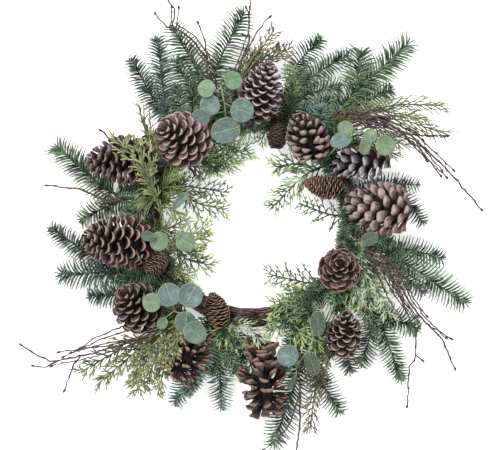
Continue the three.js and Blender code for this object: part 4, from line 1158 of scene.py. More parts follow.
def grow_cone(name, length, width, stand, count, half_share, stamp):
    rand = np.random.default_rng(seed_of(name))
    loose = stand in LOOSE
    t = (np.arange(count) + 0.5) / count
    untidy = UNTIDY.get(name, USUAL_TILT)
    turn = np.arange(count) * GOLDEN_TURN + rand.normal(0, 0.5 * untidy, count)
    radial = np.stack([np.cos(turn), np.sin(turn), np.zeros(count)], axis=1)
    place = loose_scales if loose else ordered_scales
    feet, ends, lean, bows = place(length, width, stand, t, radial, rand)
    cup, thick_share = (LOOSE_CUP, LOOSE_THICK) if loose else STANDS[stand][4:]
    ways = ends - feet
    ups = UP * np.sin(lean)[:, None] - radial * np.cos(lean)[:, None]
    ups = ups + rand.normal(0, untidy, (count, 3))
    profile = np.sqrt(cone_profile(t)) if loose else cone_profile(t)
    half = width * half_share * ((0.70 + 0.45 * t) if loose else (0.32 + 0.68 * profile))
    thick = width * thick_share * (0.5 + 0.5 * profile)
    growth = Growth()
    shade = rand.uniform(0, 1, count)
    lengths = np.linalg.norm(ways, axis=1)
    press(growth, stamp, feet, ways, ups, lengths, half, thick, shade, t, bows=bows, cups=cup)
    add_core(growth, length, -0.47, 0.42, width * (0.14 if loose else 0.26), CORE_OUTLINE, 12, 0.0)
    return growth


for name, (length, width, turn, rise, stand, count, half_share, wood) in CONES.items():
    stamp = WEDGE_SCALE if stand in LOOSE else WOODY_SCALE
    cone = grow_cone(name, length, width, stand, count, half_share, stamp)
    share = lay(cone, turn, rise, name)
    print(name, "against the frame's size:", share.round(2))
    make_piece(name + "_scales", cone, CONE_WOODS[wood], name)

# %% [markdown]
# ## Small cones
# These are spruce-like: thin papery scales, each with a paler lip and a dark gap below it. A net of bumps on
# an egg would do from afar, but the same spiral serves, with more and flatter scales on a thicker core.

# %% Small cones
PAPERY_COUNT = 120
PAPERY_HALF = 0.165
PAPERY_CORE = (0.5, 0.8, 0.9, 0.9, 0.85, 0.65, 0.3)
SMALL_TONES = {
    "orange": (
        (92, 64, 51), (48, 31, 24), (125, 95, 77),
        (123, 90, 73), (77, 53, 42), (161, 128, 107),
        (222, 187, 161), (114, 84, 66),
    ),
    "dark": (
        (50, 39, 35), (26, 19, 17), (74, 60, 54),
        (74, 58, 52), (44, 33, 29), (100, 82, 73),
        (150, 128, 115), (66, 52, 46),
    ),
}
SMALL_WOODS = {
    wood: cone_material("small_cone_" + wood, tones, 160.0) for wood, tones in SMALL_TONES.items()
}
for name, (length, width, turn, rise, wood) in SMALL_CONES.items():
    cone = grow_cone(name, length, width, "papery", PAPERY_COUNT, PAPERY_HALF, PAPERY_SCALE)
    add_core(cone, length, -0.46, 0.36, width * 0.24, PAPERY_CORE, 10, 0.1)
    lay(cone, turn, rise, name)
    make_piece(name + "_scales", cone, SMALL_WOODS[wood], name)

# %% [markdown]
# ## Room round the cones
# On a real wreath needles bend round a cone and don't pierce it. Bending each one would need a collision
# test against every scale. It is enough to leave out whatever would end inside a cone, because a cone's
# neighbours hide the gap. A cone counts here as an egg a little smaller than its scales.

# %% Cone room
NEEDLE_ROOM = 0.86
THREAD_ROOM = 0.80


def cone_bodies():
    made = []
    for node, (length, width, turn, rise, *_) in (CONES | SMALL_CONES).items():
        low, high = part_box(node)
        middle = np.array((low + high) / 2) / MM - RING
        made.append((middle, cone_turn(turn, rise)[:, 2], length / 2, width / 2))
    return made


BODIES = cone_bodies()


def outside_cones(points, share=NEEDLE_ROOM):
    keep = np.ones(len(points), bool)
    for middle, axis, along, across in BODIES:
        d = points - middle
        lengthwise = d @ axis
        sideways = np.linalg.norm(d - lengthwise[:, None] * axis, axis=1)
        inside = (lengthwise / along / share) ** 2 + (sideways / across / share) ** 2 < 1
        keep &= ~inside
    return keep


print("foliage keeps out of", len(BODIES), "cones")

# %% [markdown]
# ## Fir
# A fir needle is flat, blunt and a little curved, and leaves the shoot like the teeth of a comb, swept
# forward, with shorter ones standing over the stem. Flat cards with a picture of needles are the quick way,
# but they vanish edge-on. So one needle is modelled, and stamped in nine ranks round the shoot. Its top is
# dark green, and its underside paler, for the pale bands that a fir needle has there.

# %% Fir needle and material
FIR_NEEDLE = Stamp(
    [
        (0.0, 0.4, 0.5, 0.5),
        (0.08, 0.85, 0.8, 0.8),
        (0.35, 1.0, 1, 1),
        (0.75, 1.0, 1, 1),
        (0.93, 0.82, 0.9, 0.9),
        (1.0, 0.42, 0.5, 0.5),
    ],
    [(1, 0.0), (0.45, 0.8), (0, 0.55), (-0.45, 0.8), (-1, 0.0), (0, -1)],
)


def fir_material(name, tones):
    """tones are the green, a darker and a lighter one, the young tip, and the underside."""
    *greens, tip, below = (rgb(*tone) for tone in tones)
    material, tree = start_material(name, 0.5, 0.3)
    green = mottled(tree, *greens, 45.0, leaning(tree, mark_node(tree, "shade"), 0.5, 0.55))
    young = times(tree, ramp_node(tree, mark_node(tree, "along"), 0.55, 1.0), 0.55)
    fresh = blend_node(tree, young, green["Colour"], tip)
    under = times(tree, ramp_node(tree, mark_node(tree, "face"), -0.2, -0.8), 0.7)
    return coat(material, blend_node(tree, under, fresh, below), green["Height"], 0.15, 0.0004)


FIR_TONES = {
    "deep": ((68, 92, 70), (26, 42, 32), (116, 142, 114), (136, 160, 130), (124, 145, 127)),
    "fresh": ((68, 95, 68), (28, 45, 33), (120, 146, 112), (140, 162, 126), (126, 146, 124)),
    "teal": ((80, 106, 94), (34, 53, 46), (130, 156, 141), (148, 172, 156), (130, 150, 139)),
    "blue": ((66, 86, 76), (26, 38, 34), (112, 134, 121), (138, 158, 145), (128, 145, 136)),
}
FIR_GREENS = {hue: fir_material("fir_" + hue, tones) for hue, tones in FIR_TONES.items()}
SHOOT_TONES = ((98, 84, 66), (58, 46, 38), (128, 122, 88))
SHOOT_BARK = bark_material("fir_shoot_bark", SHOOT_TONES, 220.0, 900.0, 0.8, 0.25)
print("fir greens:", ", ".join(FIR_GREENS))

# %% Needle sizes and ranks
# For each kind of shoot: the length of a needle and the step between two, the angle at which they leave the
# shoot, in radians, and how much shorter they are at its end, as a share.
NEEDLES = {
    "plain": (20.5, 4.2, 1.02, 0.42),
    "long": (27.0, 4.7, 1.02, 0.42),
    "feather": (27.0, 4.3, 0.90, 0.24),
    "short": (17.5, 4.4, 1.02, 0.42),
    "tucked": (15.0, 3.8, 1.02, 0.42),
    "inner": (11.0, 3.8, 1.02, 0.42),
    "between": (17.5, 4.1, 1.02, 0.42),
}

# Each rank of needles: angle round the shoot, its scatter, the step between needles as a share of the
# usual one, their length share, and how much closer to the shoot they lie.
RANKS = [
    (2, 5, 1.0, 1.0, 0.0),
    (178, 5, 1.0, 1.0, 0.0),
    (24, 8, 1.0, 0.84, 0.06),
    (156, 8, 1.0, 0.84, 0.06),
    (50, 10, 0.9, 0.72, 0.14),
    (130, 10, 0.9, 0.72, 0.14),
    (90, 16, 1.0, 0.58, 0.24),
    (206, 8, 1.0, 0.72, 0.04),
    (334, 8, 1.0, 0.72, 0.04),
]
UNDER_RANKS = (206, 334)
# On a combed branch the needles over and under the shoot are short, so that the side ones stand clear.
COMBED_RANKS = [(at, scatter, apart, share**1.6, closer) for at, scatter, apart, share, closer in RANKS]
print(len(RANKS), "ranks of needles,", len(NEEDLES), "kinds of shoot")

# %% Needles along a shoot
# The share of a shoot that the needles over and under it cover. Past it only the side ones go on.
COVER_ENDS = 0.965
# A needle that ends lower than this would lie in the floor.
NEEDLE_LOWEST = 0.4


def grow_needles(growth, line, rand, bare, kind, ranks):
    """bare is the length at the shoot's foot that carries none."""
    usual, step, angle_out, taper = NEEDLES[kind]
    for middle, scatter, apart, share, closer in ranks:
        points = spaced(line, step * apart)
        way, side, up = headings(points)
        count = len(points)
        index = np.arange(int(bare / step / apart), count)
        points = points[index] + way[index] * rand.normal(0, 0.08 * step, (len(index), 1))
        t = index / count
        angle = np.radians(middle + rand.normal(0, scatter, len(index)))
        radial = side[index] * np.cos(angle)[:, None] + up[index] * np.sin(angle)[:, None]
        spread = angle_out - 0.32 * t**4 - closer + rand.normal(0, 0.035, len(index))
        ways = way[index] * np.cos(spread)[:, None] + radial * np.sin(spread)[:, None]
        lengths = usual * (1 - taper * t**7) * share * rand.uniform(0.9, 1.06, len(index))
        lengths = lengths * np.minimum(1, 0.7 + 3 * t)
        # The flat side is turned up as well as out, because a real needle twists to the light.
        ups = unit(up[index] + 0.35 * np.cross(np.cross(way[index], radial), ways))
        ends = points + ways * lengths[:, None]
        halfway = points + ways * lengths[:, None] * 0.55
        chosen = outside_cones(ends) & outside_cones(halfway) & (ends[:, 2] > NEEDLE_LOWEST)
        if share < 1:
            chosen &= t < COVER_ENDS
        total = int(chosen.sum())
        hand = 1 if math.cos(math.radians(middle)) > 0 else -1
        press(
            growth, FIR_NEEDLE, points[chosen], ways[chosen], ups[chosen], lengths[chosen],
            rand.uniform(0.86, 1.06, total), 0.5, rand.uniform(0, 1, total),
            lifts=0.04, sweeps=0.3 * hand * rand.uniform(0.75, 1.2, total),
        )


TIP_NEEDLES = 7


def grow_tip_needles(growth, line, rand, usual):
    """The brush of short needles round the bud at a shoot's end."""
    way, side, up = (v[-1] for v in headings(line))
    angles = np.arange(TIP_NEEDLES) * GOLDEN_TURN
    lean = np.linspace(0.80, 0.10, TIP_NEEDLES)
    radial = side * np.cos(angles)[:, None] + up * np.sin(angles)[:, None]
    ways = way * np.cos(lean)[:, None] + radial * np.sin(lean)[:, None]
    lengths = usual * rand.uniform(0.40, 0.60, TIP_NEEDLES)
    feet = np.repeat(line[-1:], TIP_NEEDLES, axis=0)
    press(growth, FIR_NEEDLE, feet, ways, np.cross(radial, ways), lengths, 1.1, 0.45, 0.6, lifts=0.1)


print("a needle has", sum(map(len, FIR_NEEDLE.faces)), "faces")

# %% Fir branches grow
# Branches that aren't deep green, and shoots, by number, whose needles aren't plain.
FIR_HUE = {
    "fir_left_high": "fresh",
    "fir_bottom": "teal",
    "fir_top_left": "blue",
    "fir_right_high": "fresh",
    "fir_left_low": "blue",
}
SHOOT_KIND = {
    "fir_top": {0: "long", 2: "long"},
    "fir_right_low": {0: "long"},
    "fir_bottom_right": {0: "long"},
    "fir_left_low": {0: "long"},
    "fir_right_high": {0: "feather", 1: "feather"},
    "fir_left_high": {0: "feather"},
    "fir_right": {0: "short", 1: "short"},
}
COMBED = ("fir_right_low", "fir_bottom_right", "fir_bottom", "fir_top", "fir_right")
# How much of a shoot has no needles, and its half thickness there: a main one, a side one, and the shoot
# whose bare wood shows.
MAIN_WOOD = (11, 1.7)
SIDE_WOOD = (7, 1.3)
BARE_WOOD = {("fir_left_high", 0): (64, 2.6)}
SHOOT_END = 0.7

for name, shoots in FIR.items():
    rand = np.random.default_rng(seed_of(name))
    needles, stems = Growth(), Growth()
    for order, shoot in enumerate(shoots):
        line = smooth_line(shoot, 4)
        bare, wood = BARE_WOOD.get((name, order), SIDE_WOOD if order else MAIN_WOOD)
        add_stem(stems, line, np.linspace(wood, SHOOT_END, len(line)), 8, shade=rand.uniform())
        kind = SHOOT_KIND.get(name, {}).get(order, "plain")
        grow_needles(needles, line, rand, bare, kind, COMBED_RANKS if name in COMBED else RANKS)
        grow_tip_needles(needles, line, rand, NEEDLES[kind][0])
    make_piece(name + "_needles", needles, FIR_GREENS[FIR_HUE.get(name, "deep")], name)
    make_piece(name + "_stems", stems, SHOOT_BARK)

# %% [markdown]
# ## Fir tucked round the ring
# A maker hides the ring by tucking short ends of fir in all the way round, and only then adds the long
# branches. They could be copies of one tuft, but copies are soon seen, so each grows by its own chances.
# They lie low and dark between the cones. Along the bottom the vine is left to show.

# %% Short fir
# The arc of the ring that each quarter fills, in degrees, and the step between two places.
TUCK_STEP = 5.5
TUCKED = {
    "right_low": {"start": -66, "stop": 8},
    "right_high": {"start": 11, "stop": 80},
    "left_high": {"start": 82, "stop": 157},
    "left_low": {"start": 159, "stop": 232},
}
TUCK_RANKS = [rank for rank in RANKS if rank[0] not in UNDER_RANKS]


def tucked_line(angle, rand, outward):
    a = math.radians(angle)
    radial, along = np.array([math.cos(a), math.sin(a), 0]), np.array([-math.sin(a), math.cos(a), 0])
    reach = rand.uniform(26, 46) if outward else -rand.uniform(2, 9)
    drift = along * rand.choice([-1, 1]) * rand.uniform(10, 24)
    start = radial * (RING_RADIUS + (4 if outward else -6)) + UP * 14
    middle = start + radial * reach * 0.5 + drift * 0.4 + UP * rand.uniform(12, 20)
    end = start + radial * reach + drift + UP * rand.uniform(8, 18)
    return smooth_line([start, middle, end], 3)


tucked_stems = Growth()
rand = np.random.default_rng(77)
for quarter, arc in TUCKED.items():
    tucked = Growth()
    for angle in np.arange(arc["start"], arc["stop"], TUCK_STEP):
        for outward in (True, False):
            line = tucked_line(angle + rand.uniform(-2, 2), rand, outward)
            add_stem(tucked_stems, line, np.linspace(1.2, SHOOT_END, len(line)), 6, shade=rand.uniform())
            grow_needles(tucked, line, rand, 4, "tucked" if outward else "inner", TUCK_RANKS)
    make_piece(f"tucked_fir_{quarter}_needles", tucked, FIR_GREENS["deep"])

# %% Fir between the cones
# Side ends of the long branches close the gaps between the cones. Each line belongs to a green.
BETWEEN_TIP = 18.0
BETWEEN = {
    "fresh": [
        [(-58, -142, 16), (-66, -168, 30), (-86, -198, 26)],
        [(-50, -146, 16), (-50, -176, 34), (-58, -214, 28)],
        [(-40, -146, 16), (-36, -180, 30), (-24, -212, 22)],
        [(-134, -64, 18), (-156, -76, 30), (-186, -88, 24)],
        [(66, 130, 16), (84, 152, 28), (112, 168, 26)],
    ],
    "deep": [
        [(-138, 30, 18), (-150, 34, 38), (-164, 40, 32)],
        [(-138, 22, 18), (-158, 12, 32), (-180, 4, 26)],
        [(-44, 136, 16), (-38, 168, 26), (-26, 206, 26)],
        [(-64, 128, 16), (-80, 156, 24), (-88, 188, 22)],
        [(-88, 112, 16), (-99, 146, 22), (-106, 184, 20)],
        [(50, 134, 16), (52, 168, 26), (66, 198, 24)],
        [(134, -14, 18), (156, -26, 36), (192, -32, 34)],
        [(70, -130, 16), (60, -170, 26), (46, -208, 22)],
        [(74, -128, 16), (96, -164, 26), (112, -190, 20)],
        [(126, -60, 18), (146, -84, 34), (166, -112, 30)],
    ],
    "teal": [
        [(-50, -142, 16), (-62, -180, 44), (-78, -218, 46), (-94, -244, 34)],
        [(88, 110, 20), (94, 136, 44), (100, 154, 50)],
        [(92, 112, 20), (108, 136, 40), (126, 146, 42)],
        [(84, 114, 20), (80, 138, 40), (74, 158, 40)],
    ],
}
for hue, lines in BETWEEN.items():
    growth = Growth()
    for points in lines:
        line = smooth_line(points, 4)
        add_stem(tucked_stems, line, np.linspace(1.3, SHOOT_END, len(line)), 6, shade=rand.uniform())
        grow_needles(growth, line, rand, 5, "between", RANKS)
        grow_tip_needles(growth, line, rand, BETWEEN_TIP)
    make_piece(f"between_cones_{hue}_needles", growth, FIR_GREENS[hue])
make_piece("tucked_fir_stems", tucked_stems, SHOOT_BARK)

# %% [markdown]
# ## Cedar
# Cedar and cypress carry no needles: each frond forks again and again in one plane, and its last forks are
# threads of tiny overlapping scales. A leaf-shaped card would look like cut paper. Three levels of forking
# are enough to read as cedar, and the threads are beaded, because that is how the scales catch the light.
# Each frond drifts from dark to fresh green.


# %% Cedar threads
def beaded(beads, waist):
    """Cross-sections of a thread of overlapping scales: wide, then waisted, again and again."""
    stations = [(0.0, 0.55, 0.6, 0.6)]
    for k in range(beads):
        fade = 1 - 0.35 * (k / beads) ** 2
        stations.append(((k + 0.4) / beads, fade, fade, fade))
        stations.append(((k + 0.9) / beads, waist * fade, waist * fade, waist * fade))
    stations[-1] = (0.965, 0.45, 0.45, 0.45)
    stations.append((1.0, 0.16, 0.2, 0.2))
    return stations


DIAMOND = [(1, 0), (0, 1), (-1, 0), (0, -1)]
CEDAR_THREAD = Stamp(beaded(4, 0.66), DIAMOND)
CEDAR_LONG = Stamp(beaded(9, 0.74), DIAMOND)
print("faces of a thread:", sum(map(len, CEDAR_THREAD.faces)), "or, long,", sum(map(len, CEDAR_LONG.faces)))

# %% Cedar materials
# Each kind's old wood side, body and growing tip.
CEDAR_TONES = {
    "yellow": ((46, 60, 38), (94, 114, 64), (166, 182, 116)),
    "olive": ((40, 50, 34), (94, 114, 68), (150, 150, 98)),
    "bright": ((34, 54, 40), (74, 106, 64), (184, 208, 144)),
    "moss": ((40, 54, 38), (80, 100, 62), (144, 162, 108)),
    "grey": ((38, 50, 42), (66, 84, 64), (134, 152, 106)),
    "brown": ((50, 60, 38), (92, 100, 60), (126, 106, 74)),
    "strand": ((42, 52, 34), (84, 98, 58), (138, 144, 94)),
    "pale": ((34, 50, 40), (106, 130, 99), (206, 218, 184)),
    "coarse": ((84, 100, 72), (120, 134, 90), (170, 172, 116)),
    "tuft": ((48, 62, 38), (98, 116, 64), (156, 170, 106)),
    "sparse": ((58, 56, 42), (92, 100, 62), (148, 152, 100)),
}


def cedar_material(name, tones):
    old, body, tip = (rgb(*tone) for tone in tones)
    material, tree = start_material(name, 0.5, 0.4)
    shade = mark_node(tree, "shade")
    age = math_node(tree, "ADD", shade, leaning(tree, mark_node(tree, "along"), 0.5, 0.3))
    grown = blend_node(tree, ramp_node(tree, age, 0.02, 0.42), old, body)
    fresh = blend_node(tree, ramp_node(tree, age, 0.5, 1.05), grown, tip)
    green = mottled(tree, fresh, old, tip, 60.0, times(tree, shade, 0.06))
    return coat(material, green["Colour"], green["Height"], 0.25, 0.0004)


CEDAR_LEAF = {hue: cedar_material("cedar_" + hue, tones) for hue, tones in CEDAR_TONES.items()}
print("cedar greens:", ", ".join(CEDAR_LEAF))

# %% How each kind of cedar forks
# step is from one side branch to the next and angle is how far it turns off. thread_step, thread and thick
# are the step between threads, their length and half width. forks is the share that fork once more.
Fork = namedtuple("Fork", "step angle thread_step thread thick forks")
FORKS = {
    "yellow": Fork(10.0, 32, 5.2, 11.5, 1.02, 0.55),
    "olive": Fork(12.5, 30, 6.2, 13.5, 1.25, 0.45),
    "bright": Fork(9.0, 32, 4.8, 12.5, 1.08, 0.55),
    "moss": Fork(7.4, 30, 4.4, 9.5, 0.72, 0.7),
    "grey": Fork(10.0, 42, 5.2, 8.8, 1.02, 0.8),
    "brown": Fork(8.8, 28, 4.8, 11.0, 0.90, 0.4),
    "strand": Fork(10.5, 15, 7.0, 19.0, 0.85, 0.3),
    "pale": Fork(8.6, 26, 5.2, 12.5, 0.95, 0.5),
    "coarse": Fork(19.0, 24, 7.0, 9.0, 1.30, 0.3),
    "tuft": Fork(8.0, 18, 7.0, 13.0, 1.05, 0.3),
    "sparse": Fork(13.0, 14, 7.0, 13.0, 0.85, 0.3),
}

# Kinds whose side branches are long single threads, and how many short ones each of those carries.
LONG_THREADS = {"strand": 3, "coarse": 2, "tuft": 1, "sparse": 1}
# A thread's half thickness, as a share of its half width.
THREAD_FLAT = 0.66
print(len(FORKS), "kinds of cedar")


# %% Threads and side branches
def two_sides(count):
    """1 and -1 by turns, for what stands left and right of a stem."""
    return np.where(np.arange(count) % 2 == 0, 1.0, -1.0)


def grow_threads(growth, feet, ways, normal, lengths, thick, hand, shade, forks, rand):
    """Threads along a branchlet, and the short fork that many of them carry."""
    across = np.cross(ways, normal)
    press(
        growth, CEDAR_THREAD, feet, ways, normal, lengths, thick, thick * THREAD_FLAT, shade,
        lifts=0.03, sweeps=-0.10 * hand,
    )
    forked = rand.uniform(0, 1, len(feet)) < forks
    if not forked.any():
        return
    at = rand.uniform(0.3, 0.6, int(forked.sum()))[:, None]
    hand = hand[forked][:, None] * rand.choice([-1, 1], (int(forked.sum()), 1), p=[0.65, 0.35])
    start = feet[forked] + ways[forked] * lengths[forked][:, None] * at
    turned = ways[forked] * 0.8 + across[forked] * 0.6 * hand
    press(
        growth, CEDAR_THREAD, start, turned, normal, lengths[forked] * 0.5, thick * 0.9, thick * 0.6,
        shade[forked] + 0.12,
    )


def grow_side_branch(growth, foot, way, side, normal, length, fork, rand, age):
    """A flat branchlet with threads on both sides, and one at its end."""
    s = np.linspace(0, 1, 7)[:, None]
    bend = normal * rand.normal(-0.04, 0.08) + side * rand.normal(0, 0.07)
    line = foot + way * (s * length) + bend * (s * s * length)
    if not outside_cones(line[:4], THREAD_ROOM).all():
        return
    count = max(3, int(length / fork.thread_step))
    add_stem(growth, line, np.linspace(fork.thick, fork.thick * 0.7, 7), 5, 0.7, shade=age * 0.5)
    at = np.linspace(0.1, 0.97, count)
    feet = np.stack([np.interp(at, s[:, 0], line[:, k]) for k in range(3)], axis=1)
    hand = two_sides(count)
    lean = np.radians(rand.normal(fork.angle, 6, count)) * hand
    ways = way * np.cos(lean)[:, None] + side * np.sin(lean)[:, None]
    ways = unit(ways + normal * rand.normal(0.02, 0.13, (count, 1)))
    lengths = fork.thread * (1.08 - 0.5 * at) * rand.uniform(0.75, 1.15, count)
    shade = age * 0.6 + 0.5 * at * rand.uniform(0.7, 1.2, count)
    grow_threads(growth, feet, ways, normal, lengths, fork.thick, hand, shade, fork.forks, rand)
    press(
        growth, CEDAR_THREAD, line[-1:], way[None], normal, fork.thread * 0.9, fork.thick,
        fork.thick * THREAD_FLAT, age + 0.5,
    )


def grow_strand(growth, foot, way, normal, length, fork, rand, age, count):
    """A long grassy thread with a few short ones off it."""
    across = np.cross(way, normal)
    sweep = rand.normal(0, 0.12)
    press(
        growth, CEDAR_LONG, foot[None], way[None], normal, length, fork.thick * 1.1, fork.thick * 0.7,
        0.3 + 0.5 * age, sweeps=sweep,
    )
    at = np.linspace(0.35, 0.85, count)
    feet = foot + way * (at * length)[:, None] + across * (sweep * length * at * at)[:, None]
    ways = way * 0.93 + across * 0.36 * two_sides(count)[:, None]
    press(
        growth, CEDAR_THREAD, feet, ways, normal, rand.uniform(7, 12, count), fork.thick,
        fork.thick * THREAD_FLAT, 0.5 + 0.5 * at,
    )


print("threads turn to both sides:", two_sides(4))

# %% Ribs
# A rib's side branches start past this share of it, and a strand reaches further than a branchlet.
RIB_BARE = 0.10
SIDE_REACH = 1.5
STRAND_REACH = 1.7


def grow_rib(growth, line, reach, hue, rand, thick):
    """The main stem of a frond, with its side branches left and right."""
    fork = FORKS[hue]
    points = spaced(line, fork.step / 2)
    way, side, up = headings(points)
    stem = spaced(line, 3)
    add_stem(growth, stem, np.linspace(thick, 0.75, len(stem)), 6, shade=0.05)
    count = len(points)
    for i in range(1, count):
        t = i / count
        if t < RIB_BARE:
            continue
        hand = 1 if i % 2 else -1
        normal = unit(up[i] + side[i] * rand.normal(0, 0.3))
        across = unit(np.cross(way[i], normal)) * hand
        length = reach * SIDE_REACH * (1.15 - 0.72 * t) * rand.uniform(0.7, 1.12)
        angle = math.radians(rand.normal(fork.angle + 6, 6))
        ahead = way[i] * math.cos(angle) + across * math.sin(angle)
        sideways = unit(np.cross(ahead, normal))
        if hue in LONG_THREADS:
            threads = LONG_THREADS[hue]
            grow_strand(growth, points[i], ahead, normal, length * STRAND_REACH, fork, rand, t, threads)
        else:
            grow_side_branch(growth, points[i], ahead, sideways, normal, length, fork, rand, t)
    tip_flat = fork.thick * THREAD_FLAT
    press(growth, CEDAR_THREAD, points[-1:], way[-1:], up[-1:], fork.thread, fork.thick, tip_flat, 1.0)


def echo(line, rand):
    """A second rib beside the first, from the same root, so that a frond is as full as a real one."""
    turn = rand.choice([-1, 1]) * rand.uniform(0.12, 0.3)
    size = rand.uniform(0.6, 0.9)
    d = (line - line[0]) * size
    x = d[:, 0] * math.cos(turn) - d[:, 1] * math.sin(turn)
    y = d[:, 0] * math.sin(turn) + d[:, 1] * math.cos(turn)
    lower = np.linspace(0, rand.uniform(3, 8), len(line))
    return line[0] + np.stack([x, y, d[:, 2] - lower], axis=1)


print("side branches reach", SIDE_REACH, "of a frond's own reach, and strands", SIDE_REACH * STRAND_REACH)

# %% [markdown]
# ## Fuller fronds
# A cedar spray is denser than the few ribs that the frame needs. More ribs could be copied at random, but
# then the cones would drown. So the extra ones are placed one by one, where the real sprays are thick, and
# some of them are of another hue, because a maker puts different cuttings side by side.

# %% Ribs of another kind
# Fronds so open that nothing stands beside their ribs.
SINGLE = (
    "cedar_inner_left", "cedar_inner_right", "cedar_inner_mid", "cedar_inner_low", "cedar_over_cone",
    "cedar_upper_left", "cedar_right_high", "cedar_top_mid", "cedar_bottom_left",
)

# Ribs of another kind in the same frond, by the frond's name and the rib's number.
OTHER_RIBS = {
    "cedar_inner_low": {0: "grey"},
    "cedar_right_low": {0: "pale", 2: "bright", 3: "bright", 4: "pale", 5: "pale", 6: "pale", 7: "pale"},
    "cedar_inner_left": {1: "yellow"},
    "cedar_left_heart": {1: "sparse"},
    "cedar_bottom": {4: "pale"},
    "cedar_bottom_mid": {2: "grey", 4: "grey", 5: "grey"},
}
print(sum(map(len, OTHER_RIBS.values())), "ribs are of another hue than their frond")

# %% Filling sprigs
# Short sprigs that fill the ring between the longer ones.
FILLING = {
    "cedar_left_heart": [
        [(-130, 20, 24), (-120, 44, 44), (-110, 66, 46)],
        [(-130, 18, 24), (-112, 34, 44), (-96, 52, 46)],
        [(-134, 62, 24), (-112, 46, 46), (-92, 36, 42)],
        [(-140, 34, 22), (-122, 18, 40), (-104, 6, 36)],
        [(-140, 2, 22), (-130, -14, 40), (-118, -30, 40)],
        [(-134, 56, 24), (-148, 44, 48), (-156, 26, 46)],
    ],
    "cedar_over_cone": [
        [(-128, -8, 26), (-130, 20, 48), (-146, 48, 64), (-171, 103, 97)],
        [(-130, 16, 48), (-144, 48, 64), (-160, 74, 90), (-183, 94, 96)],
        [(-130, 18, 48), (-144, 50, 66), (-150, 76, 94), (-153, 100, 99)],
        [(-130, 20, 50), (-142, 50, 68), (-142, 78, 92), (-140, 100, 96)],
        [(-130, 22, 48), (-138, 50, 66), (-136, 78, 84)],
    ],
    "cedar_inner_top": [
        [(-88, 108, 18), (-68, 90, 32), (-58, 70, 32)],
        [(-70, 120, 18), (-48, 106, 32), (-30, 102, 32)],
    ],
    "cedar_top_mid": [
        [(4, 140, 18), (2, 128, 28), (-10, 118, 30)],
        [(24, 138, 18), (18, 124, 28), (14, 112, 28)],
    ],
    "cedar_inner_right": [[(116, 84, 16), (96, 90, 34), (70, 98, 34)]],
    "cedar_left_inner": [
        [(-136, -60, 16), (-114, -70, 34), (-90, -80, 38)],
        [(-140, -24, 16), (-118, -14, 32), (-96, -2, 36)],
    ],
    "cedar_inner_low": [[(100, -100, 16), (80, -104, 30), (56, -104, 34)]],
    "cedar_bottom": [
        [(-54, -128, 18), (-62, -142, 30), (-80, -160, 34)],
        [(-46, -140, 20), (-40, -160, 40), (-22, -176, 40)],
        [(-34, -138, 24), (-20, -148, 58), (-6, -150, 70), (10, -165, 74)],
    ],
    "cedar_bottom_left": [
        [(-96, -118, 20), (-110, -146, 60), (-122, -176, 62)],
        [(-94, -120, 20), (-100, -150, 62), (-108, -184, 66)],
        [(-108, -128, 20), (-126, -168, 56), (-138, -202, 62), (-147, -232, 54)],
        [(-106, -130, 20), (-116, -168, 60), (-122, -204, 68), (-129, -234, 60)],
        [(-104, -126, 20), (-136, -166, 50), (-156, -196, 52), (-166, -226, 46)],
    ],
    "cedar_upper_left": [
        [(-134, 92, 88), (-146, 126, 95), (-149, 148, 92)],
        [(-133, 94, 88), (-139, 122, 94), (-141, 142, 92)],
    ],
    "cedar_right_low": [
        [(124, -70, 20), (136, -92, 46), (150, -122, 44)],
        [(116, -84, 20), (120, -108, 42), (126, -138, 38)],
        [(136, -22, 30), (147, -48, 56), (158, -86, 58), (164, -118, 50)],
        [(134, -24, 30), (143, -56, 54), (150, -104, 50)],
        [(138, -22, 30), (156, -46, 52), (174, -84, 52)],
        [(132, -26, 30), (140, -52, 62), (142, -84, 66), (150, -112, 56)],
    ],
    "cedar_right_high": [
        [(100, 102, 18), (124, 142, 50), (176, 150, 62), (238, 140, 54)],
        [(104, 98, 18), (128, 136, 50), (172, 128, 60), (207, 106, 54)],
        [(104, 100, 20), (132, 114, 46), (160, 118, 52), (190, 112, 50)],
        [(106, 96, 20), (138, 104, 46), (166, 102, 50), (196, 92, 46)],
    ],
    "cedar_bottom_mid": [
        [(60, -128, 18), (76, -142, 44), (92, -156, 46)],
        [(72, -124, 18), (84, -150, 44), (88, -180, 46)],
        [(98, -96, 20), (82, -112, 48), (58, -122, 54)],
        [(98, -98, 20), (84, -124, 50), (70, -140, 54)],
    ],
}
print(sum(map(len, FILLING.values())), "sprigs fill the ring")

# %% Cedar fronds grow
# Half the thickness of a frond's first rib, of its others, and of the sprigs and echoes beside them.
FIRST_RIB = 1.6
NEXT_RIB = 1.3
THIN_RIB = 1.1
# The reach of a filling sprig and of an echo, as a share of the frond's own.
FILLING_REACH = 0.72
ECHO_REACH = 0.8

for name, (hue, reach, *ribs) in CEDAR.items():
    rand = np.random.default_rng(seed_of(name))
    fronds = {}
    for order, rib in enumerate(ribs + FILLING.get(name, [])):
        kind = OTHER_RIBS.get(name, {}).get(order, hue)
        frond = fronds.setdefault(kind, Growth())
        line = smooth_line(rib, 4)
        if order >= len(ribs):
            grow_rib(frond, line, reach * FILLING_REACH, kind, rand, THIN_RIB)
            continue
        grow_rib(frond, line, reach, kind, rand, NEXT_RIB if order else FIRST_RIB)
        if name not in SINGLE:
            grow_rib(frond, echo(line, rand), reach * ECHO_REACH, kind, rand, THIN_RIB)
    for kind, frond in fronds.items():
        make_piece(f"{name}_{kind}_frond", frond, CEDAR_LEAF[kind], name)

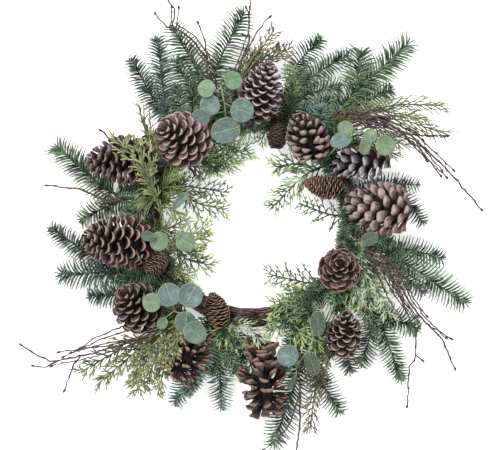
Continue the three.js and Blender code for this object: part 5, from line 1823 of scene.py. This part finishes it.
# %% Two long pine needles
# They are plain flattened stems, because a pine needle is as thin as a stalk of grass.
LONG_NEEDLES = [
    [(-18, 196, 40), (4, 230, 62), (27, 258, 64)],
    [(-16, 196, 40), (6, 222, 60), (24, 245, 60)],
]
pine = Growth()
for points in LONG_NEEDLES:
    line = smooth_line(points, 6)
    add_stem(pine, line, np.linspace(0.8, 0.45, len(line)), 5, 0.7, shade=0.7)
make_piece("long_pine_needles", pine, CEDAR_LEAF["coarse"])

# %% [markdown]
# ## Twigs
# The twigs are winter shoots: thin, dark purple-brown, kinked at every joint, with a bud in the angle
# and a plump one at the end. A Blender curve with a round bevel would be quick, but a rounded twig reads
# as wire. So each is a tube along straight steps, thicker at its joints, with its kinks kept sharp.

# %% Twig bark and bud
TWIG_TONES = ((80, 65, 64), (36, 26, 27), (140, 126, 124))
TWIG_BARK = bark_material("twig_bark", TWIG_TONES, 240.0, 1100.0, 0.72, 0.3)
BUD = Stamp(
    [
        (0.0, 0.45, 0.45, 0.45),
        (0.2, 0.85, 0.85, 0.85),
        (0.45, 1, 1, 1),
        (0.7, 0.8, 0.8, 0.8),
        (0.9, 0.42, 0.42, 0.42),
        (1.0, 0.12, 0.12, 0.12),
    ],
    round_section(8),
)
# An end bud's length and half width.
END_BUD = (6.5, 1.9)
print("a bud has", sum(map(len, BUD.faces)), "faces")

# %% Knuckled twigs
# The step along a twig, how far its points stray, and every how many steps there is a joint.
TWIG_STEP = 5
TWIG_KINK = 0.52
JOINT_EVERY = 4
JOINT_SWELL = 1.28


def knuckled(points, step):
    """Points about step apart on the straight lines between the given ones, whose corners stay."""
    p = np.array(points, float)
    parts = [spaced(p[i : i + 2], step)[:-1] for i in range(len(p) - 1)]
    return np.vstack([*parts, p[-1:]])


def grow_twig(growth, points, thick, rand):
    line = knuckled(points, TWIG_STEP)
    count = len(line)
    line[1:-1] += rand.normal(0, TWIG_KINK, (count - 2, 3))
    joints = np.arange(count) % JOINT_EVERY == 2
    radii = np.linspace(thick, max(0.85, thick * 0.62), count) * np.where(joints, JOINT_SWELL, 1.0)
    add_stem(growth, line, radii, 7, shade=rand.uniform())
    way, side, up = headings(line)
    bud_length, bud_half = END_BUD
    press(growth, BUD, line[-1:], way[-1:], up[-1:], bud_length, bud_half, bud_half, 0.2)
    chosen = np.flatnonzero(joints)[1:]
    if len(chosen) == 0:
        return
    out = side[chosen] * two_sides(len(chosen))[:, None] * 0.6
    ways = way[chosen] * 0.8 + out + up[chosen] * rand.normal(0, 0.4, (len(chosen), 1))
    press(growth, BUD, line[chosen], ways, up[chosen], rand.uniform(2.6, 4.4, len(chosen)), 0.95, 0.95)


def companion(points, offset, rand):
    """A thinner stem that runs beside another for most of its length, from the same root."""
    p = np.array(points, float)
    last = max(2, len(p) - rand.integers(1, 3))
    p = p[:last]
    _, side, up = headings(p)
    part = np.minimum(1, np.arange(last) * 0.8)[:, None]
    return p + (side * offset + up * rand.uniform(-6, 3)) * part


print("a twig has a joint every", TWIG_STEP * JOINT_EVERY, "mm")

# %% Twigs grow
# Half the thickness of a bundle's first stem, of its others, and of the thin ones that run beside the first.
FIRST_STEM = 1.8
NEXT_STEM = 1.3
THIN_STEM = 1.25

# How many thinner stems run beside the first, and how far out the last of them is.
COMPANIONS = {
    "twigs_top_left": (2, 6),
    "twigs_top": (1, 5),
    "twigs_right_high": (2, 8),
    "twigs_bottom_left": (1, 5),
    "twigs_right_low": (4, 9),
}

# Stems that leave the ring by a way of their own.
MORE_STEMS = {
    "twigs_right_low": [
        [(150, -24, 18), (168, -38, 60), (182, -74, 64), (196, -104, 64), (214, -128, 62)],
        [(148, -26, 18), (162, -40, 58), (176, -80, 64), (190, -112, 62), (206, -136, 60)],
        [(150, -22, 18), (172, -34, 60), (190, -70, 66), (208, -106, 66), (228, -134, 62)],
    ],
    "twigs_right_high": [
        [(92, 108, 20), (122, 152, 54), (156, 145, 68), (187, 134, 72), (213, 120, 68), (240, 116, 64),
         (270, 115, 62)],
        [(90, 110, 20), (120, 150, 50), (156, 141, 64), (188, 128, 68), (220, 110, 64), (242, 84, 58)],
        [(94, 106, 20), (126, 148, 56), (162, 149, 66), (198, 138, 70), (226, 122, 64)],
        [(92, 108, 20), (128, 145, 54), (166, 136, 66), (202, 122, 68), (232, 106, 62), (264, 70, 56)],
        [(90, 108, 20), (120, 146, 50), (158, 148, 60), (204, 132, 64), (236, 112, 60)],
    ],
    "twigs_bottom_left": [
        [(-100, -104, 16), (-140, -134, 12), (-165, -146, 16), (-188, -153, 36), (-222, -168, 50),
         (-245, -183, 50)],
        [(-98, -106, 16), (-138, -138, 14), (-174, -157, 34), (-210, -168, 52), (-240, -182, 50),
         (-268, -186, 48)],
        [(-96, -108, 22), (-130, -152, 50), (-160, -165, 58), (-200, -177, 58), (-236, -181, 52),
         (-262, -192, 50)],
    ],
}
for name, stems in TWIGS.items():
    rand = np.random.default_rng(seed_of(name))
    bundle = Growth()
    for order, stem in enumerate(stems + MORE_STEMS.get(name, [])):
        grow_twig(bundle, stem, NEXT_STEM if order else FIRST_STEM, rand)
    count, reach = COMPANIONS.get(name, (0, 0))
    for extra in range(count):
        offset = reach * (0.35 + 0.65 * (extra + 1) / count) * (1 if extra % 2 else -1)
        grow_twig(bundle, companion(stems[0], offset, rand), THIN_STEM, rand)
    make_piece(name + "_bark", bundle, TWIG_BARK, name)

# %% [markdown]
# ## Eucalyptus
# Silver-dollar leaves are thin discs, cupped and never quite flat, under a powdery bloom that rubs from
# green to blue-grey. A pale midrib and a fan of side veins run to a pale edge. A flat disc with a picture
# of veins would look printed. So the leaf is a real two-sided disc, and its veins are both raised and pale,
# drawn from the leaf's own coordinates.

# %% Leaf colours
# The pale edge, the pale veins, and the painted shade that darkens a leaf lying in shadow.
LEAF_EDGE = rgb(166, 180, 150)
LEAF_VEIN = rgb(164, 180, 160)
LEAF_PAINTED_SHADE = rgb(40, 59, 45)
# Each tone without its bloom, and with all of it.
LEAF_BODY = (rgb(98, 124, 92), rgb(76, 97, 104))
LEAF_DARK = (rgb(78, 103, 72), rgb(58, 77, 83))
LEAF_LIGHT = (rgb(124, 150, 116), rgb(112, 133, 139))
print("a leaf mixes", len((LEAF_BODY, LEAF_DARK, LEAF_LIGHT)), "tones, each with and without bloom")


# %% Leaf material
def leaf_veins(tree, u, v):
    """1 on the midrib, the side veins and the net between them. u runs to the tip and v across."""
    off = math_node(tree, "ABSOLUTE", v)
    rib = ramp_node(tree, off, 0.038, 0.010)
    slant = math_node(tree, "ADD", u, times(tree, off, -0.75))
    wave = math_node(tree, "FRACT", times(tree, slant, 6.5))
    vein = ramp_node(tree, math_node(tree, "ABSOLUTE", math_node(tree, "SUBTRACT", wave, 0.5)), 0.12, 0.02)
    net = cell_edges(tree, place_node(tree, X=u, Y=v), 6.0)
    threads = times(tree, ramp_node(tree, net, 0.10, 0.0), 0.62)
    sides = math_node(tree, "MAXIMUM", times(tree, vein, 0.9), threads)
    return math_node(tree, "MAXIMUM", rib, sides)


def leaf_material():
    material, tree = start_material("eucalyptus_leaf", 0.55, 0.3)
    # The shade mark carries the bloom, and above 1 the painted shade as well.
    bloom = mark_node(tree, "shade")
    tones = (blend_node(tree, bloom, *pair) for pair in (LEAF_BODY, LEAF_DARK, LEAF_LIGHT))
    young = mottled(tree, *tones, 90.0)["Colour"]
    # Past a bloom of 1.1 the leaf darkens towards painted shade, for a leaf that lies in shadow.
    old = times(tree, ramp_node(tree, bloom, 1.1, 1.6), 0.92)
    tone = blend_node(tree, old, young, LEAF_PAINTED_SHADE)
    veins = leaf_veins(tree, mark_node(tree, "along"), mark_node(tree, "face"))
    veined = blend_node(tree, times(tree, veins, 0.55), tone, LEAF_VEIN)
    margin = times(tree, ramp_node(tree, mark_node(tree, "edge"), 0.93, 1.0), 0.6)
    return coat(material, blend_node(tree, margin, veined, LEAF_EDGE), veins, 0.35, 0.0007)


def sprig_stem_material():
    material, tree = start_material("eucalyptus_stem", 0.5, 0.35)
    tone = mottled(tree, rgb(132, 144, 100), rgb(98, 110, 74), rgb(168, 176, 132), 150.0)
    return coat(material, tone["Colour"], tone["Height"], 0.2, 0.0004)


LEAF = leaf_material()
SPRIG_STEM = sprig_stem_material()
print("materials:", LEAF.name, "and", SPRIG_STEM.name)

# %% The faces of a leaf
LEAF_RINGS = 9
LEAF_SPOKES = 40
LEAF_THICK = 0.55


def leaf_faces():
    """The upper side and the fan at its centre, the same below, and the rim that joins them."""
    count = LEAF_RINGS * LEAF_SPOKES
    i, k = np.meshgrid(np.arange(LEAF_RINGS - 1) * LEAF_SPOKES, np.arange(LEAF_SPOKES), indexing="ij")
    m = (k + 1) % LEAF_SPOKES
    outward = i + LEAF_SPOKES
    top = np.stack([i + k, outward + k, outward + m, i + m], axis=-1).reshape(-1, 4)
    spoke = np.arange(LEAF_SPOKES)
    beside = (spoke + 1) % LEAF_SPOKES
    centre = np.full(LEAF_SPOKES, count)
    fan = np.stack([centre, spoke, beside], axis=1)
    # The lower side's points follow the upper side's, and its faces turn the other way.
    lower = count + 1
    under = np.stack([centre, beside, spoke], axis=1) + lower
    edge, next_edge = spoke + count - LEAF_SPOKES, beside + count - LEAF_SPOKES
    rim = np.stack([edge, edge + lower, next_edge + lower, next_edge], axis=1)
    return top, fan, top[:, ::-1] + lower, under, rim


LEAF_FACES = leaf_faces()
print("a leaf has", sum(map(len, LEAF_FACES)), "faces")


# %% Leaves grow
def leaf_ways(turn, lean):
    """Up from the leaf, along it to its tip, and across it."""
    a, e = math.radians(turn), math.radians(lean)
    flat = np.array([math.cos(a), math.sin(a), 0.0])
    normal = UP * math.cos(e) + flat * math.sin(e)
    along = flat * math.cos(e) - UP * math.sin(e)
    return normal, along, np.cross(normal, along)


def both_sides(values, centre):
    """A value for each point of the upper side, its centre last, and the same again for the lower."""
    return np.tile(np.append(values.ravel(), centre), 2)


def grow_leaf(growth, leaf, rand):
    """Returns the leaf's foot, and the way that it points."""
    x, y, z, radius, share, turn, lean, bloom = leaf
    normal, along, across = leaf_ways(turn, lean)
    ring = np.linspace(0.0, 1.0, LEAF_RINGS + 1)[1:]
    r, a = np.meshgrid(ring, np.arange(LEAF_SPOKES) * 2 * math.pi / LEAF_SPOKES, indexing="ij")
    # A small point at the tip, and a notch at the stalk.
    point, notch = 0.03 * np.exp(-((a / 0.22) ** 2)), 0.10 * np.exp(-(((a - math.pi) / 0.2) ** 2))
    outline = 1 + 0.05 * np.cos(a) + point - notch
    u = r * np.cos(a) * outline
    v = r * np.sin(a) * outline
    # Cupped, waved at the margin, and creased along the midrib.
    waves = 0.035 * r**3 * np.sin(3 * a + rand.uniform(0, 6))
    lift = 0.11 * r**2 + waves - 0.05 * np.exp(-((v / 0.12) ** 2)) * r
    middle = np.array([x, y, z], float)
    flat = along * (u.reshape(-1, 1) * radius) + across * (v.reshape(-1, 1) * radius * share)
    half = LEAF_THICK / 2
    upper = middle + flat + normal * (lift.ravel() * radius + half)[:, None]
    lower = middle + flat + normal * (lift.ravel() * radius - half)[:, None]
    points = np.vstack([upper, middle + normal * half, lower, middle - normal * half])
    growth.add(
        points, LEAF_FACES, along=both_sides(u, 0), face=both_sides(v, 0), edge=both_sides(r, 0), shade=bloom
    )
    return middle - along * radius * 0.93 + normal * (0.1 * radius), along


for name, (stem, *leaves) in EUCALYPTUS.items():
    rand = np.random.default_rng(seed_of(name))
    blades, stalks = Growth(), Growth()
    line = smooth_line(stem, 4)
    add_stem(stalks, line, np.linspace(1.4, 1.0, len(line)), 8)
    # Leaves spring from the outer half of the stem, each from the point nearest to it.
    free = line[int(len(line) * 0.5) :]
    for leaf in leaves:
        base, along = grow_leaf(blades, leaf, rand)
        foot = free[np.argmin(np.linalg.norm(free - base, axis=1))]
        bow = (foot + base) / 2 + UP * 1.5
        petiole = smooth_line([foot, bow, base, base + along * leaf[3] * 0.35], 1.5)
        add_stem(stalks, petiole, np.linspace(0.85, 0.35, len(petiole)), 7)
    make_piece(name + "_leaves", blades, LEAF, name)
    make_piece(name + "_stalks", stalks, SPRIG_STEM)

# %% [markdown]
# ## The stage
# The wreath lies on a plain white sweep under broad soft light, as in a catalogue picture, and the
# camera looks straight down on its face. A photograph of a studio could light it, but two soft boxes and a
# white world give the same calm shadows. A long lens keeps the ring round and the near cones in scale.

# %% Floor
FLOOR_HALF = 4.0
# The sweep glows a little, as paper does under studio light, so that it comes out white.
FLOOR_GLOW = 0.5


def floor_material():
    material, tree = start_material("white_sweep", 0.9, 0.1)
    shader = tree.nodes["Principled BSDF"]
    noise = tree.nodes.new("ShaderNodeTexNoise")
    noise.inputs["Scale"].default_value = 3.0
    pale = blend_node(tree, noise.outputs["Fac"], (0.90, 0.90, 0.895), (0.92, 0.92, 0.92))
    tree.links.new(pale, shader.inputs["Base Color"])
    shader.inputs["Emission Color"].default_value = (1.0, 1.0, 1.0, 1.0)
    shader.inputs["Emission Strength"].default_value = FLOOR_GLOW
    return material


corners = [(x * FLOOR_HALF, y * FLOOR_HALF, 0) for x, y in ((-1, -1), (1, -1), (1, 1), (-1, 1))]
floor_mesh = bpy.data.meshes.new("floor")
floor_mesh.from_pydata(corners, [], [(0, 1, 2, 3)])
floor_mesh.materials.append(floor_material())
floor = bpy.data.objects.new("floor", floor_mesh)
bpy.context.collection.objects.link(floor)
print("floor, m:", 2 * FLOOR_HALF)

# %% Light
WHITE = (1.0, 1.0, 1.0, 1.0)
WORLD_LIGHT = 0.64


def soft_box(name, place, size, power):
    """A square light that faces the middle of the wreath."""
    light = bpy.data.lights.new(name, "AREA")
    light.energy = power
    light.size = size
    light.shape = "SQUARE"
    lamp = bpy.data.objects.new(name, light)
    bpy.context.collection.objects.link(lamp)
    lamp.location = place
    lamp.rotation_euler = (-Vector(place)).to_track_quat("-Z", "Y").to_euler()
    print(f"{name} light: {power} W")


soft_box("key", (-1.1, 1.3, 2.2), 1.0, 74)
soft_box("fill", (1.4, -0.9, 2.0), 1.8, 22)
world = bpy.data.worlds.new("studio")
bpy.context.scene.world = world
world.use_nodes = True
background = world.node_tree.nodes["Background"]
background.inputs["Color"].default_value = WHITE
background.inputs["Strength"].default_value = WORLD_LIGHT
bpy.context.scene.view_settings.view_transform = "Standard"

# %% Camera
# What the picture's width takes in at the height of PLANE, and how high the camera hangs, in metres.
FRAME_WIDTH = 0.700
PLANE = 0.05
CAMERA_HEIGHT = 2.6
# How far the picture's middle is from the ring's, in millimetres.
PICTURE_OFF = (-2.8, -8.4)

camera = bpy.data.cameras.new("camera")
camera.sensor_width = 36.0
camera.lens = camera.sensor_width * (CAMERA_HEIGHT - PLANE) / FRAME_WIDTH
eye = bpy.data.objects.new("camera", camera)
bpy.context.collection.objects.link(eye)
eye.location = ((RING[0] + PICTURE_OFF[0]) * MM, (RING[1] + PICTURE_OFF[1]) * MM, CAMERA_HEIGHT)
bpy.context.scene.camera = eye
print("lens, mm:", round(camera.lens, 1))
